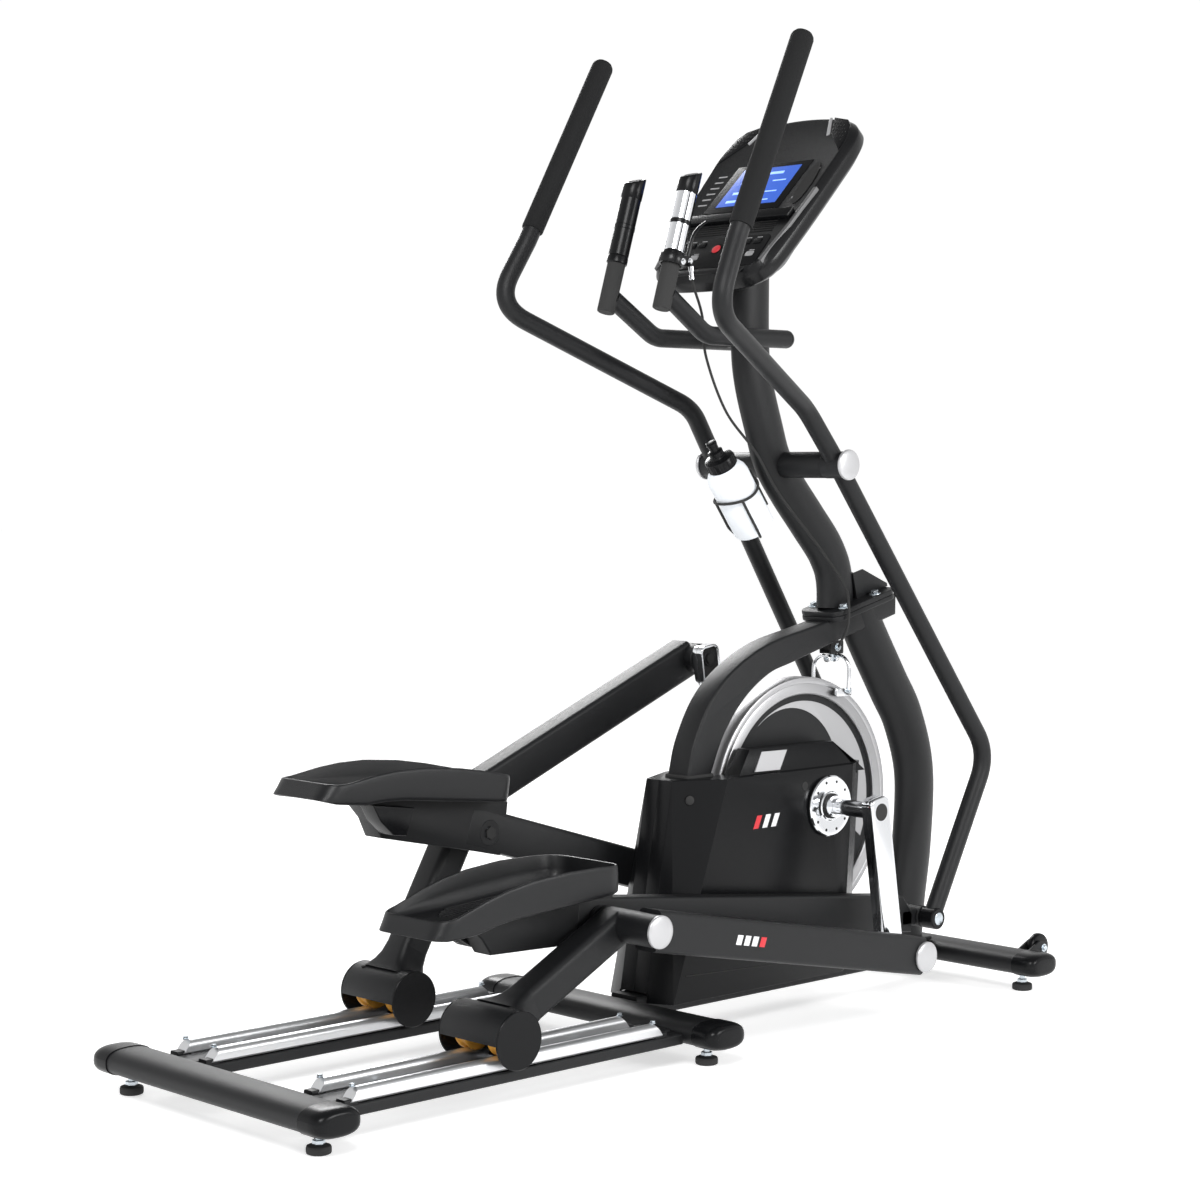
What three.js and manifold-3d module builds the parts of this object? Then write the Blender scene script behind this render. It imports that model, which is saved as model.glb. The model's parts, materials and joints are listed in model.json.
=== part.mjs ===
// Elliptical cross trainer with a front crank, two rail rods a side and swinging arms.
// Millimetres, +Z up, +X towards the mast, +Y to the rider's left, floor at Z = 0.
import * as THREE from "three";
import { mergeVertices } from "three/addons/utils/BufferGeometryUtils.js";
import { ConvexGeometry } from "three/addons/geometries/ConvexGeometry.js";
import Module from "manifold-3d";

const wasm = await Module();
wasm.setup();

// ---- Driving dimensions ----
const GAP = 0.3; // between pieces that seat on each other
const BASE_LENGTH = 1591.5; // rear foot line to front foot line
const CRANK_BACK = 365.6; // front foot line back to the crank axle
const MIDDLE_BACK = 826.5; // front foot line back to the middle crossbar
const PIVOT_BACK = 421.5; // front foot line back to the swing-arm pivot
const PIVOT_HEIGHT = 944;
const CRANK_HEIGHT = 353;
const CRANK_RADIUS = 247;
const CRANK_ANGLE = 8.87; // right crank, degrees forward of straight down
const BAR_WIDTH = 80;
const BAR_HEIGHT = 40;
const BAR_CENTRE = 50; // height of the crossbars' centre line
const FOOT_SPACING = { rear: 231, middle: 229.5, front: 219 };
const BAR_BEYOND_FOOT = 52;
const FOOT_RADIUS = 18;
const ROD_RADIUS = 10;
const ROD_PITCH = 74.2; // between the two rods of one side
const ROD_CENTRE = 65;
const ROLLER_RADIUS = 28;
const ROLLER_WIDTH = 28;
const COVER_RADIUS = 44;
const COVER_WALL = 4;
const COVER_HALF = 67;
const ARM_LENGTH = 897.3; // roller axle to crank pin
const ARM_SAG = 9.9; // crank pin above the arm's datum line
const KNEE = { u: 259.4, v: 132.6 }; // pedal-beam pivot seen from the roller axle
const ARM_BAR_HEIGHT = 65;
const PEDAL_BEAM_LENGTH = 797; // knee pivot to swing-arm joint
const BEAM_HEIGHT = 65;
const BEAM_RISE = 4; // beam centre line above its pivots
const SWING_FLOOR = 105; // swing radius reaches down to this height
const SWING_TUBE_RADIUS = 16;
const GRIP_WALL = 3; // foam on the swing-arm tube
const GRIP_RADIUS = SWING_TUBE_RADIUS + GRIP_WALL;
const PEDAL_LENGTH = 378;
const PEDAL_WIDTH = 164;
const PEDAL_TILT = 9; // degrees above the pedal beam
const FLYWHEEL_RADIUS = 220;
const RIM_DEPTH = 30;
const RIM_HALF = 16;
const AXLE_RADIUS = 14;
const DRIVE_PULLEY_RADIUS = 90;
const JACK_SMALL_RADIUS = 22.5;
const JACK_LARGE_RADIUS = 45;
const HUB_PULLEY_RADIUS = 25;
const BELT_THICK = 3;

// ---- Lateral stack, inside to outside, each from its neighbour ----
const HOUSING_HALF = 75;
const DISC_THICK = 7;
const DISC_Y = HOUSING_HALF + 1;
const BEAM_IN = DISC_Y + DISC_THICK + 2;
const BEAM_WIDTH = 43;
const BEAM_OUT = BEAM_IN + BEAM_WIDTH;
const SWING_Y = BEAM_OUT + 6 + SWING_TUBE_RADIUS;
const CRANK_IN = SWING_Y + SWING_TUBE_RADIUS + 6;
const CRANK_WIDTH = 24;
const PIN_IN = CRANK_IN + CRANK_WIDTH + 1;
const ARM_BAR_IN = PIN_IN + 18;
const ARM_BAR_WIDTH = 47;
const ARM_BAR_OUT = ARM_BAR_IN + ARM_BAR_WIDTH;
const LEG_WIDTH = 54;
const LEG_Y = ARM_BAR_IN - 21 - LEG_WIDTH / 2;
const CAP_THICK = 9;
const SWING_HAND_Y = ARM_BAR_OUT;

// ---- Places that follow ----
const FRONT_X = BASE_LENGTH;
const MIDDLE_X = FRONT_X - MIDDLE_BACK;
const CRANK = { x: FRONT_X - CRANK_BACK, z: CRANK_HEIGHT };
const PIVOT = { x: FRONT_X - PIVOT_BACK, z: PIVOT_HEIGHT };
const ROLLER_Z = ROD_CENTRE + ROD_RADIUS + ROLLER_RADIUS - 4;
const SWING_RADIUS = PIVOT_HEIGHT - SWING_FLOOR;
const WHEEL_RADIUS = 25;
const WHEEL_X = FRONT_X + BAR_WIDTH / 2 + WHEEL_RADIUS + 5;
const WHEEL_Z = BAR_CENTRE + 16;
const REAR_END = -BAR_WIDTH / 2 - 2;
const FRONT_END = WHEEL_X + WHEEL_RADIUS;
const MID_X = (REAR_END + FRONT_END) / 2;

// ---- Geometry helpers ----
const deg = (a) => (a * Math.PI) / 180;
const v2 = (x, y) => new THREE.Vector2(x, y);
const v3 = (x, y, z) => new THREE.Vector3(x, y, z);

function bare(geometry) {
  const g = geometry.index ? geometry.toNonIndexed() : geometry.clone();
  for (const name of Object.keys(g.attributes)) {
    if (name !== "position") g.deleteAttribute(name);
  }
  return mergeVertices(g, 1e-3);
}

function toSolid(geometry) {
  const g = bare(geometry);
  const make = (triVerts) =>
    new wasm.Manifold(new wasm.Mesh({ numProp: 3, vertProperties: g.attributes.position.array, triVerts }));
  const triVerts = new Uint32Array(g.index.array);
  const solid = make(triVerts);
  if (solid.volume() > 0) return solid;
  for (let i = 0; i < triVerts.length; i += 3) {
    [triVerts[i + 1], triVerts[i + 2]] = [triVerts[i + 2], triVerts[i + 1]];
  }
  return make(triVerts);
}

function fromSolid(solid) {
  const mesh = solid.getMesh();
  const g = new THREE.BufferGeometry();
  g.setAttribute("position", new THREE.BufferAttribute(new Float32Array(mesh.vertProperties), 3));
  g.setIndex(new THREE.BufferAttribute(new Uint32Array(mesh.triVerts), 1));
  return g;
}

const join = (...parts) => fromSolid(parts.map(toSolid).reduce((a, b) => a.add(b)));
const cut = (whole, ...tools) => fromSolid(tools.map(toSolid).reduce((a, b) => a.subtract(b), toSolid(whole)));
const common = (...parts) => fromSolid(parts.map(toSolid).reduce((a, b) => a.intersect(b)));

function box(x0, x1, y0, y1, z0, z1) {
  const g = new THREE.BoxGeometry(Math.abs(x1 - x0), Math.abs(y1 - y0), Math.abs(z1 - z0));
  return g.translate((x0 + x1) / 2, (y0 + y1) / 2, (z0 + z1) / 2);
}

// Cylinder along Y from y0 to y1 round (x, z).
function drum(x, z, radius, y0, y1, segments = 16) {
  const g = new THREE.CylinderGeometry(radius, radius, Math.abs(y1 - y0), segments);
  return g.translate(x, (y0 + y1) / 2, z);
}

// Cylinder along Z.
function post(x, y, radius, z0, z1, segments = 16) {
  const g = new THREE.CylinderGeometry(radius, radius, z1 - z0, segments);
  return g.rotateX(Math.PI / 2).translate(x, y, (z0 + z1) / 2);
}

// Outline in the XZ plane, extruded along Y from y0 to y1.
function plate(points, y0, y1, bevel = 0) {
  const low = Math.min(y0, y1);
  const depth = Math.abs(y1 - y0) - 2 * bevel;
  const shape = new THREE.Shape(points.map(([x, z]) => v2(x, z)));
  const options = { depth, bevelEnabled: bevel > 0, bevelSize: bevel, bevelThickness: bevel };
  const g = new THREE.ExtrudeGeometry(shape, { ...options, bevelOffset: -bevel, bevelSegments: 1 });
  return g.rotateX(Math.PI / 2).translate(0, low + bevel + depth, 0);
}

// Outline in the XY plane, extruded along Z.
function slab(points, z0, z1) {
  const shape = new THREE.Shape(points.map(([x, y]) => v2(x, y)));
  return new THREE.ExtrudeGeometry(shape, { depth: z1 - z0, bevelEnabled: false }).translate(0, 0, z0);
}

function roundedOutline(halfA, halfB, radius, perCorner = 2) {
  const points = [];
  const corners = [[1, 1], [-1, 1], [-1, -1], [1, -1]];
  corners.forEach(([a, b], i) => {
    for (let k = 0; k <= perCorner; k++) {
      const t = ((i + k / perCorner) * Math.PI) / 2;
      points.push([a * (halfA - radius) + radius * Math.cos(t), b * (halfB - radius) + radius * Math.sin(t)]);
    }
  });
  return points;
}

function ovalOutline(halfA, halfB, count = 16) {
  return Array.from({ length: count }, (_, i) => {
    const t = (2 * Math.PI * i) / count;
    return [halfA * Math.cos(t), halfB * Math.sin(t)];
  });
}

const smooth = (points, count) => new THREE.SplineCurve(points.map(([x, z]) => v2(x, z)))
  .getPoints(count).map((p) => [p.x, p.y]);

// A path that an extrusion steps along knot by knot, so bends stay exact.
class KnotPath extends THREE.Curve {
  constructor(knots) {
    super();
    this.knots = knots;
  }
  getPoint(t) {
    const s = t * (this.knots.length - 1);
    const i = Math.min(Math.floor(s), this.knots.length - 2);
    return this.knots[i].clone().lerp(this.knots[i + 1], s - i);
  }
  getPointAt(u) {
    return this.getPoint(u);
  }
  getTangentAt(u) {
    const i = Math.round(u * (this.knots.length - 1));
    const before = this.knots[Math.max(i - 1, 0)];
    const here = this.knots[i];
    const after = this.knots[Math.min(i + 1, this.knots.length - 1)];
    const t = v3(0, 0, 0);
    if (i > 0) t.add(here.clone().sub(before).normalize());
    if (i < this.knots.length - 1) t.add(after.clone().sub(here).normalize());
    return t.normalize();
  }
}

// Corner points to knots, each inner corner rounded to its radius.
function bend(corners, radii, steps = 5) {
  const knots = [corners[0]];
  for (let i = 1; i < corners.length - 1; i++) {
    const back = corners[i - 1].clone().sub(corners[i]);
    const ahead = corners[i + 1].clone().sub(corners[i]);
    const half = back.angleTo(ahead) / 2;
    const radius = Array.isArray(radii) ? radii[i - 1] : radii;
    const reach = Math.min(radius / Math.tan(half), back.length() * 0.48, ahead.length() * 0.48);
    const from = corners[i].clone().addScaledVector(back.normalize(), reach);
    const to = corners[i].clone().addScaledVector(ahead.normalize(), reach);
    const curve = new THREE.QuadraticBezierCurve3(from, corners[i], to);
    knots.push(...curve.getPoints(steps));
  }
  knots.push(corners[corners.length - 1]);
  return knots;
}

// Section swept along knots. In a path that stays in an XZ plane, the section's first axis is Y.
function sweep(knots, outline) {
  const shape = new THREE.Shape(outline.map(([a, b]) => v2(a, b)));
  const path = new KnotPath(knots);
  return new THREE.ExtrudeGeometry(shape, { steps: knots.length - 1, extrudePath: path, bevelEnabled: false });
}

const tube = (knots, radius, sides = 12) => sweep(knots, ovalOutline(radius, radius, sides));

// Profile of [radius, distance] turned round Y, centred on (x, z).
function turned(profile, x, z, segments = 16) {
  const g = new THREE.LatheGeometry(profile.map(([r, y]) => v2(r, y)), segments);
  return g.translate(x, 0, z);
}

// Straight bar of rectangular section between two points of an XZ plane.
function bar(from, to, height, y0, y1, radius) {
  const length = Math.hypot(to.x - from.x, to.z - from.z);
  const outline = roundedOutline(Math.abs(y1 - y0) / 2, height / 2, radius);
  const shape = new THREE.Shape(outline.map(([a, b]) => v2(a, b)));
  const g = new THREE.ExtrudeGeometry(shape, { depth: length, bevelEnabled: false });
  const along = v3((to.x - from.x) / length, 0, (to.z - from.z) / length);
  const across = v3(-along.z, 0, along.x);
  const m = new THREE.Matrix4().makeBasis(v3(0, 1, 0), across, along);
  return g.applyMatrix4(m).translate(from.x, (y0 + y1) / 2, from.z);
}

// Turned piece whose axis runs from one point to another.
function spindle(profile, from, to, segments = 16) {
  const g = new THREE.LatheGeometry(profile.map(([r, y]) => v2(r, y)), segments);
  const turn = new THREE.Quaternion().setFromUnitVectors(v3(0, 1, 0), to.clone().sub(from).normalize());
  return g.applyQuaternion(turn).translate(from.x, from.y, from.z);
}

// Moves a piece drawn round the origin of an XZ plane: tilt counts from +X up towards +Z.
const placed = (g, at, tilt) => g.clone().rotateY(-tilt).translate(at.x, 0, at.z);

function toSide(g, side) {
  if (side > 0) return g.clone();
  const mirrored = bare(g).scale(1, -1, 1);
  const order = mirrored.index.array;
  for (let i = 0; i < order.length; i += 3) [order[i + 1], order[i + 2]] = [order[i + 2], order[i + 1]];
  return mirrored;
}

// ---- Linkage at rest ----
function linkage(crankAngle) {
  const pin = { x: CRANK.x + CRANK_RADIUS * Math.sin(crankAngle), z: CRANK.z - CRANK_RADIUS * Math.cos(crankAngle) };
  const rise = Math.asin((pin.z - ROLLER_Z) / ARM_LENGTH);
  const roller = { x: pin.x - ARM_LENGTH * Math.cos(rise), z: ROLLER_Z };
  const tilt = rise - Math.asin(ARM_SAG / ARM_LENGTH);
  const knee = {
    x: roller.x + KNEE.u * Math.cos(tilt) - KNEE.v * Math.sin(tilt),
    z: roller.z + KNEE.u * Math.sin(tilt) + KNEE.v * Math.cos(tilt),
  };
  const apart = Math.hypot(PIVOT.x - knee.x, PIVOT.z - knee.z);
  const along = (PEDAL_BEAM_LENGTH ** 2 - SWING_RADIUS ** 2 + apart ** 2) / (2 * apart);
  const off = Math.sqrt(PEDAL_BEAM_LENGTH ** 2 - along ** 2);
  const dir = { x: (PIVOT.x - knee.x) / apart, z: (PIVOT.z - knee.z) / apart };
  const joint = { x: knee.x + along * dir.x + off * dir.z, z: knee.z + along * dir.z - off * dir.x };
  const beam = Math.atan2(joint.z - knee.z, joint.x - knee.x);
  const swing = Math.atan2(joint.z - PIVOT.z, joint.x - PIVOT.x);
  return { pin, roller, tilt, knee, joint, beam, swing, crank: crankAngle };
}
const SIDES = [
  { name: "left", side: 1, ...linkage(deg(CRANK_ANGLE + 180)) },
  { name: "right", side: -1, ...linkage(deg(CRANK_ANGLE)) },
];

// ---- Looks and assembly ----
const LOOKS = {
  black: { color: 0x17181a, roughness: 0.45, metalness: 0.1 },
  plastic: { color: 0x101112, roughness: 0.55, metalness: 0 },
  rubber: { color: 0x0c0c0c, roughness: 0.85, metalness: 0 },
  chrome: { color: 0xd8dade, roughness: 0.12, metalness: 1 },
  silver: { color: 0xb9bbbd, roughness: 0.35, metalness: 0.8 },
  orange: { color: 0xd88a1e, roughness: 0.5, metalness: 0 },
  white: { color: 0xe8ebef, roughness: 0.4, metalness: 0 },
  grey: { color: 0x6f7377, roughness: 0.5, metalness: 0.1 },
  blue: { color: 0x2f63d8, roughness: 0.25, metalness: 0 },
  red: { color: 0xb3121d, roughness: 0.4, metalness: 0 },
};
const trainer = new THREE.Group();
trainer.name = "elliptical_trainer";

function add(name, geometry, look) {
  const material = new THREE.MeshStandardMaterial({ ...LOOKS[look], flatShading: true });
  const mesh = new THREE.Mesh(geometry.clone().translate(-MID_X, 0, 0), material);
  mesh.name = name;
  trainer.add(mesh);
}

// ---- Base: crossbars, feet, rails, transport wheels ----
const BARS = [
  { name: "rear", x: 0, feet: FOOT_SPACING.rear },
  { name: "middle", x: MIDDLE_X, feet: FOOT_SPACING.middle },
  { name: "front", x: FRONT_X, feet: FOOT_SPACING.front },
];
const STUD_RADIUS = 5;
const BAR_TOP = BAR_CENTRE + BAR_HEIGHT / 2;
const WHEEL_Y = FOOT_SPACING.front - 19;
const BRACKET_THICK = 4;
const WHEEL_WIDTH = 16;

function acrossBar(x, halfWidth, halfHeight, y0, y1) {
  const outline = roundedOutline(halfWidth, halfHeight, halfHeight - 0.5, 2);
  return plate(outline.map(([a, b]) => [x + a, BAR_CENTRE + b]), y0, y1);
}

for (const { name, x, feet } of BARS) {
  const end = feet + BAR_BEYOND_FOOT;
  const pieces = [acrossBar(x, BAR_WIDTH / 2, BAR_HEIGHT / 2, -end + 6, end - 6)];
  for (const s of [-1, 1]) {
    pieces.push(acrossBar(x, BAR_WIDTH / 2 + 2, BAR_HEIGHT / 2 + 2, s * (end - 30), s * (end - 5)));
    pieces.push(acrossBar(x, BAR_WIDTH / 2 - 4, BAR_HEIGHT / 2 - 4, s * (end - 8), s * end));
    if (name === "front") {
      for (const t of [-1, 1]) {
        const y = s * WHEEL_Y + t * (WHEEL_WIDTH / 2 + 1 + BRACKET_THICK / 2);
        const ear = [[x + 30, 40], [WHEEL_X + 2, WHEEL_Z - 9], [WHEEL_X + 9, WHEEL_Z], [WHEEL_X + 2, WHEEL_Z + 9], [x + 30, 66]];
        pieces.push(plate(ear, y - BRACKET_THICK / 2, y + BRACKET_THICK / 2));
      }
      pieces.push(drum(WHEEL_X, WHEEL_Z, 4, s * WHEEL_Y - 14, s * WHEEL_Y + 14, 10));
    }
  }
  const wells = [-1, 1].map((s) => post(x, s * feet, STUD_RADIUS + 2 * GAP, 0, BAR_TOP - 6, 10));
  add(name + "_crossbar", cut(join(...pieces), ...wells), "black");
  for (const s of [-1, 1]) {
    const side = s > 0 ? "left" : "right";
    const profile = [[0, 0], [FOOT_RADIUS - 2, 0], [FOOT_RADIUS, 3], [FOOT_RADIUS, 9], [FOOT_RADIUS - 6, 13],
      [8.5, 13], [8.5, 20], [STUD_RADIUS, 20], [STUD_RADIUS, BAR_TOP - 16], [0, BAR_TOP - 16]];
    add(`${name}_${side}_foot`, spindle(profile, v3(x, s * feet, 0), v3(x, s * feet, 1), 10), "rubber");
    if (name === "front") {
      const wheel = [[4 + GAP, -8], [WHEEL_RADIUS - 3, -8], [WHEEL_RADIUS, -5], [WHEEL_RADIUS, 5],
        [WHEEL_RADIUS - 3, 8], [4 + GAP, 8], [4 + GAP, -8]];
      add(side + "_transport_wheel", turned(wheel, WHEEL_X, WHEEL_Z, 18).translate(0, s * WHEEL_Y, 0), "rubber");
    }
  }
}

const RAIL_START = BAR_WIDTH / 2 + GAP;
const RAIL_END = MIDDLE_X - BAR_WIDTH / 2 - GAP;
const ROD_START = RAIL_START + 24;
const ROD_END = RAIL_END - 38;
const STOP_LENGTH = 14;
const RAIL_HALF = ROD_PITCH / 2 + 12;
const RAIL_TOP = ROD_CENTRE - ROD_RADIUS - 3;
for (const { name, side } of SIDES) {
  const y = side * LEG_Y;
  const pieces = [box(RAIL_START, RAIL_END, y - RAIL_HALF, y + RAIL_HALF, 35, RAIL_TOP)];
  const holes = [];
  for (const [which, s] of [["outer", side], ["inner", -side]]) {
    const rodY = y + (s * ROD_PITCH) / 2;
    for (const x of [ROD_START, ROD_END - STOP_LENGTH]) {
      pieces.push(box(x, x + STOP_LENGTH, rodY - 13, rodY + 13, 45, ROD_CENTRE + 13));
    }
    const from = v3(ROD_START + 3, rodY, ROD_CENTRE);
    const length = ROD_END - ROD_START - 6;
    const grown = [[0, -GAP], [ROD_RADIUS + GAP, -GAP], [ROD_RADIUS + GAP, length + GAP], [0, length + GAP]];
    const rod = [[0, 0], [ROD_RADIUS, 0], [ROD_RADIUS, length], [0, length]];
    holes.push(spindle(grown, from, from.clone().add(v3(1, 0, 0)), 20));
    add(`${name}_${which}_rail_rod`, spindle(rod, from, from.clone().add(v3(1, 0, 0)), 20), "silver");
  }
  add(name + "_rail_beam", cut(join(...pieces), ...holes), "black");
}

// ---- Spine with bearing plates ----
const SPINE_TOP = BAR_TOP;
const BEARING_Y = { in: 46, out: 70 };
const PLATE_THICK = 6;
const spine = [
  bar({ x: MIDDLE_X + BAR_WIDTH / 2 + GAP, z: 52 }, { x: FRONT_X - BAR_WIDTH / 2 - GAP, z: 52 }, 36, -30, 30, 4),
  box(CRANK.x - 90, CRANK.x + 60, -BEARING_Y.in - PLATE_THICK, BEARING_Y.in + PLATE_THICK, SPINE_TOP - 4, SPINE_TOP + 4),
];
for (const s of [-1, 1]) {
  const web = [[CRANK.x - 90, SPINE_TOP], [CRANK.x + 60, SPINE_TOP], [CRANK.x + 24, CRANK.z], [CRANK.x - 24, CRANK.z]];
  spine.push(plate(web, s * BEARING_Y.in, s * (BEARING_Y.in + PLATE_THICK)));
  spine.push(drum(CRANK.x, CRANK.z, 25, s * BEARING_Y.in, s * BEARING_Y.out));
}
const axleBore = drum(CRANK.x, CRANK.z, AXLE_RADIUS + GAP, -100, 100);
add("base_spine", cut(join(...spine), axleBore), "black");

// ---- Arch tube over the flywheel, lower mast, upper mast ----
const FLANGE = { x: CRANK.x + 124.1, z: 684, tilt: deg(14) };
const FLANGE_THICK = 9;
const flangeOutline = roundedOutline(84, 48, 22, 3);
const BOLTS = [[-36, 35], [-36, -35], [50, 35], [50, -35]];
const at = (dx, z) => [CRANK.x + dx, z];
const JACK = { x: CRANK.x - FLYWHEEL_RADIUS - 10, z: CRANK.z - 23 };
const JACK_SHAFT_RADIUS = 5;
const ARCH_HALF = 25;

const outer = smooth([at(-296, 425), at(-280, 480), at(-240, 548), at(-181, 598), at(-96, 637), at(9, 660), at(84, 673)], 12);
const inner = smooth([at(86, 630), at(-32, 600), at(-96, 584), at(-158, 544), at(-207, 487), at(-239, 422)], 10);
const archOutline = [at(-296, SPINE_TOP + GAP), ...outer, at(214, 704), at(214, 664), ...inner, at(-239, SPINE_TOP + GAP)];
const flangePlate = placed(slab(flangeOutline, 0, FLANGE_THICK), FLANGE, FLANGE.tilt);
const blockEnd = JACK.x + JACK_SHAFT_RADIUS + 2.5;
add("arch_tube", cut(
  join(
    plate(archOutline, -ARCH_HALF, ARCH_HALF, 4),
    flangePlate,
    box(CRANK.x - 245, blockEnd, -22, 22, JACK.z - 12, JACK.z + 12),
  ),
  drum(JACK.x, JACK.z, JACK_SHAFT_RADIUS + GAP, -40, 40, 16),
), "black");

const inPlane = (points) => points.map(([x, z]) => v3(x, 0, z));
const MAST_Y = 25; // half width across
const lowerPath = smooth([at(290, SPINE_TOP - 20), at(300, 143), at(317, 250), at(322, 380), at(290, 480), at(246, 547),
  at(184, 640), at(150, 700)], 14);
const underArch = [at(26, 613.2), at(214, 663.2), at(330, 694), at(330, 900), at(26, 900)];
add("lower_mast", cut(
  sweep(inPlane(lowerPath), ovalOutline(MAST_Y + 2, 46, 14)),
  plate(underArch, -80, 80),
  box(CRANK.x - 40, FRONT_X + 100, -90, 90, 0, BAR_TOP + GAP + 0.2),
), "black");

const MAST_TOP = PIVOT.z + 356;
const upperPath = smooth([at(98, 640), at(99, PIVOT.z - 209), at(77, PIVOT.z - 154), at(25, PIVOT.z - 96), at(-26, PIVOT.z - 42),
  [PIVOT.x - 8, PIVOT.z + 6], [PIVOT.x - 30, PIVOT.z + 61], [PIVOT.x - 58, PIVOT.z + 146],
  [PIVOT.x - 66, PIVOT.z + 216], [PIVOT.x - 66, MAST_TOP]], 16);
const upperBase = FLANGE_THICK + GAP;
const SHAFT_RADIUS = 22.5;
const HANDLE = { z: PIVOT.z + 213, front: PIVOT.x - 40, y: 60, radius: 15.5 };
const HANDLE_CROSS = { x: PIVOT.x - 66, radius: 12 };
const gusset = [[20, upperBase + 2], [78, upperBase + 2], [78, upperBase + 20], [20, upperBase + 62]];
add("upper_mast", cut(
  join(
    sweep(inPlane(upperPath), ovalOutline(MAST_Y, 40, 14)),
    placed(slab(flangeOutline, upperBase, upperBase + FLANGE_THICK), FLANGE, FLANGE.tilt),
    ...[-1, 1].map((s) => placed(plate(gusset, s * 14, s * 18), FLANGE, FLANGE.tilt)),
    ...BOLTS.map(([a, b]) => placed(post(a, b, 7, upperBase + 4, upperBase + FLANGE_THICK + 8, 6), FLANGE, FLANGE.tilt)),
  ),
  placed(box(-200, 200, -90, 90, -200, upperBase), FLANGE, FLANGE.tilt),
  drum(PIVOT.x, PIVOT.z, SHAFT_RADIUS + 2 * GAP, -60, 60, 24),
  drum(HANDLE_CROSS.x, HANDLE.z, HANDLE_CROSS.radius + GAP, -60, 60, 16),
), "black");

// ---- Swing arms on their cross shaft ----
const SPIGOT_RADIUS = 10;
const SHAFT_END = 118;
const HUB_OUT = 165;
const shaftProfile = [[0, -HUB_OUT + 6], [SPIGOT_RADIUS, -HUB_OUT + 6], [SPIGOT_RADIUS, -SHAFT_END], [SHAFT_RADIUS, -SHAFT_END],
  [SHAFT_RADIUS, SHAFT_END], [SPIGOT_RADIUS, SHAFT_END], [SPIGOT_RADIUS, HUB_OUT - 6], [0, HUB_OUT - 6]];
add("swing_shaft", turned(shaftProfile, PIVOT.x, PIVOT.z, 24), "black");

const restSwing = SIDES[1].swing; // the arm's outline is drawn at the right arm's rest angle
const lowerReach = SWING_RADIUS / 839;
const swingCorners = [
  v3(-225.4, SWING_HAND_Y - 2, 673.2), v3(-373.9, SWING_HAND_Y - 2, 351.6), v3(-429.2, SWING_HAND_Y + 8, 235.9),
  v3(-74.9, SWING_Y - 12, 92.1), v3(0, SWING_Y - 8, 0), v3(408.1 * lowerReach, SWING_Y - 4, -521.6 * lowerReach),
  v3(SWING_RADIUS * Math.cos(restSwing), SWING_Y, SWING_RADIUS * Math.sin(restSwing)),
];
const gripFrom = swingCorners[1].clone().lerp(swingCorners[0], 0.06);
const gripTo = swingCorners[0];
const tubeTop = gripTo.clone().lerp(gripFrom, 0.05);
const swingKnots = bend([tubeTop, ...swingCorners.slice(1)], [40, 95, 85, 120, 75], 3);
for (const { name, side, swing } of SIDES) {
  const turn = swing - restSwing;
  const end = swingCorners[6];
  const arm = cut(
    join(
      tube(swingKnots, SWING_TUBE_RADIUS, 10),
      drum(0, 0, 23, SHAFT_END + GAP, HUB_OUT),
      turned([[0, HUB_OUT - 2], [26, HUB_OUT - 2], [26, HUB_OUT + 4], [20, HUB_OUT + 11], [0, HUB_OUT + 14]], 0, 0, 16),
      drum(end.x, end.z, 19, BEAM_OUT + 6, SWING_Y + SWING_TUBE_RADIUS, 12),
    ),
    drum(0, 0, SPIGOT_RADIUS + GAP, 100, HUB_OUT - 5, 20),
  );
  add(name + "_swing_arm", toSide(placed(arm, PIVOT, turn), side), "black");
  const length = gripFrom.distanceTo(gripTo);
  const bore = SWING_TUBE_RADIUS + 3 * GAP;
  const foam = [[bore, 0], [GRIP_RADIUS - 1, 0], [GRIP_RADIUS, 6], [GRIP_RADIUS, length + 4], [GRIP_RADIUS - 6, length + 14],
    [0, length + 16], [0, length * 0.95 + GAP * 2], [bore, length * 0.95 + GAP * 2], [bore, 0]];
  add(name + "_foam_grip", toSide(placed(spindle(foam, gripFrom, gripTo, 16), PIVOT, turn), side), "rubber");
}

// ---- Crank set ----
const crankProfile = [[0, -CRANK_IN + GAP], [AXLE_RADIUS, -CRANK_IN + GAP], [AXLE_RADIUS, -DISC_Y - DISC_THICK],
  [53, -DISC_Y - DISC_THICK], [53, -DISC_Y], [AXLE_RADIUS, -DISC_Y], [AXLE_RADIUS, DISC_Y], [53, DISC_Y],
  [53, DISC_Y + DISC_THICK], [AXLE_RADIUS, DISC_Y + DISC_THICK], [AXLE_RADIUS, CRANK_IN - GAP], [0, CRANK_IN - GAP]];
add("crank_axle", turned(crankProfile, CRANK.x, CRANK.z, 18), "chrome");

function crankOutline(half, endRadius) {
  const points = [];
  for (let i = 0; i <= 6; i++) {
    const t = Math.PI / 2 + (Math.PI * i) / 6;
    points.push([endRadius * Math.cos(t), half * Math.sin(t)]);
  }
  for (let i = 0; i <= 6; i++) {
    const t = -Math.PI / 2 + (Math.PI * i) / 6;
    points.push([CRANK_RADIUS + endRadius * Math.cos(t), half * Math.sin(t)]);
  }
  return points;
}
const crankArm = join(
  cut(
    plate(crankOutline(23.5, 28), CRANK_IN, CRANK_IN + CRANK_WIDTH, 2),
    plate(crankOutline(17.5, 22), CRANK_IN - 5, CRANK_IN + CRANK_WIDTH - 7),
  ),
  drum(0, 0, 17.4, CRANK_IN, CRANK_IN + CRANK_WIDTH - 4),
  drum(CRANK_RADIUS, 0, 15, CRANK_IN + 3, CRANK_IN + CRANK_WIDTH - 4),
);
for (const { name, side, crank } of SIDES) {
  add(name + "_crank_arm", toSide(placed(crankArm, CRANK, crank - Math.PI / 2), side), "chrome");
}

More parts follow.
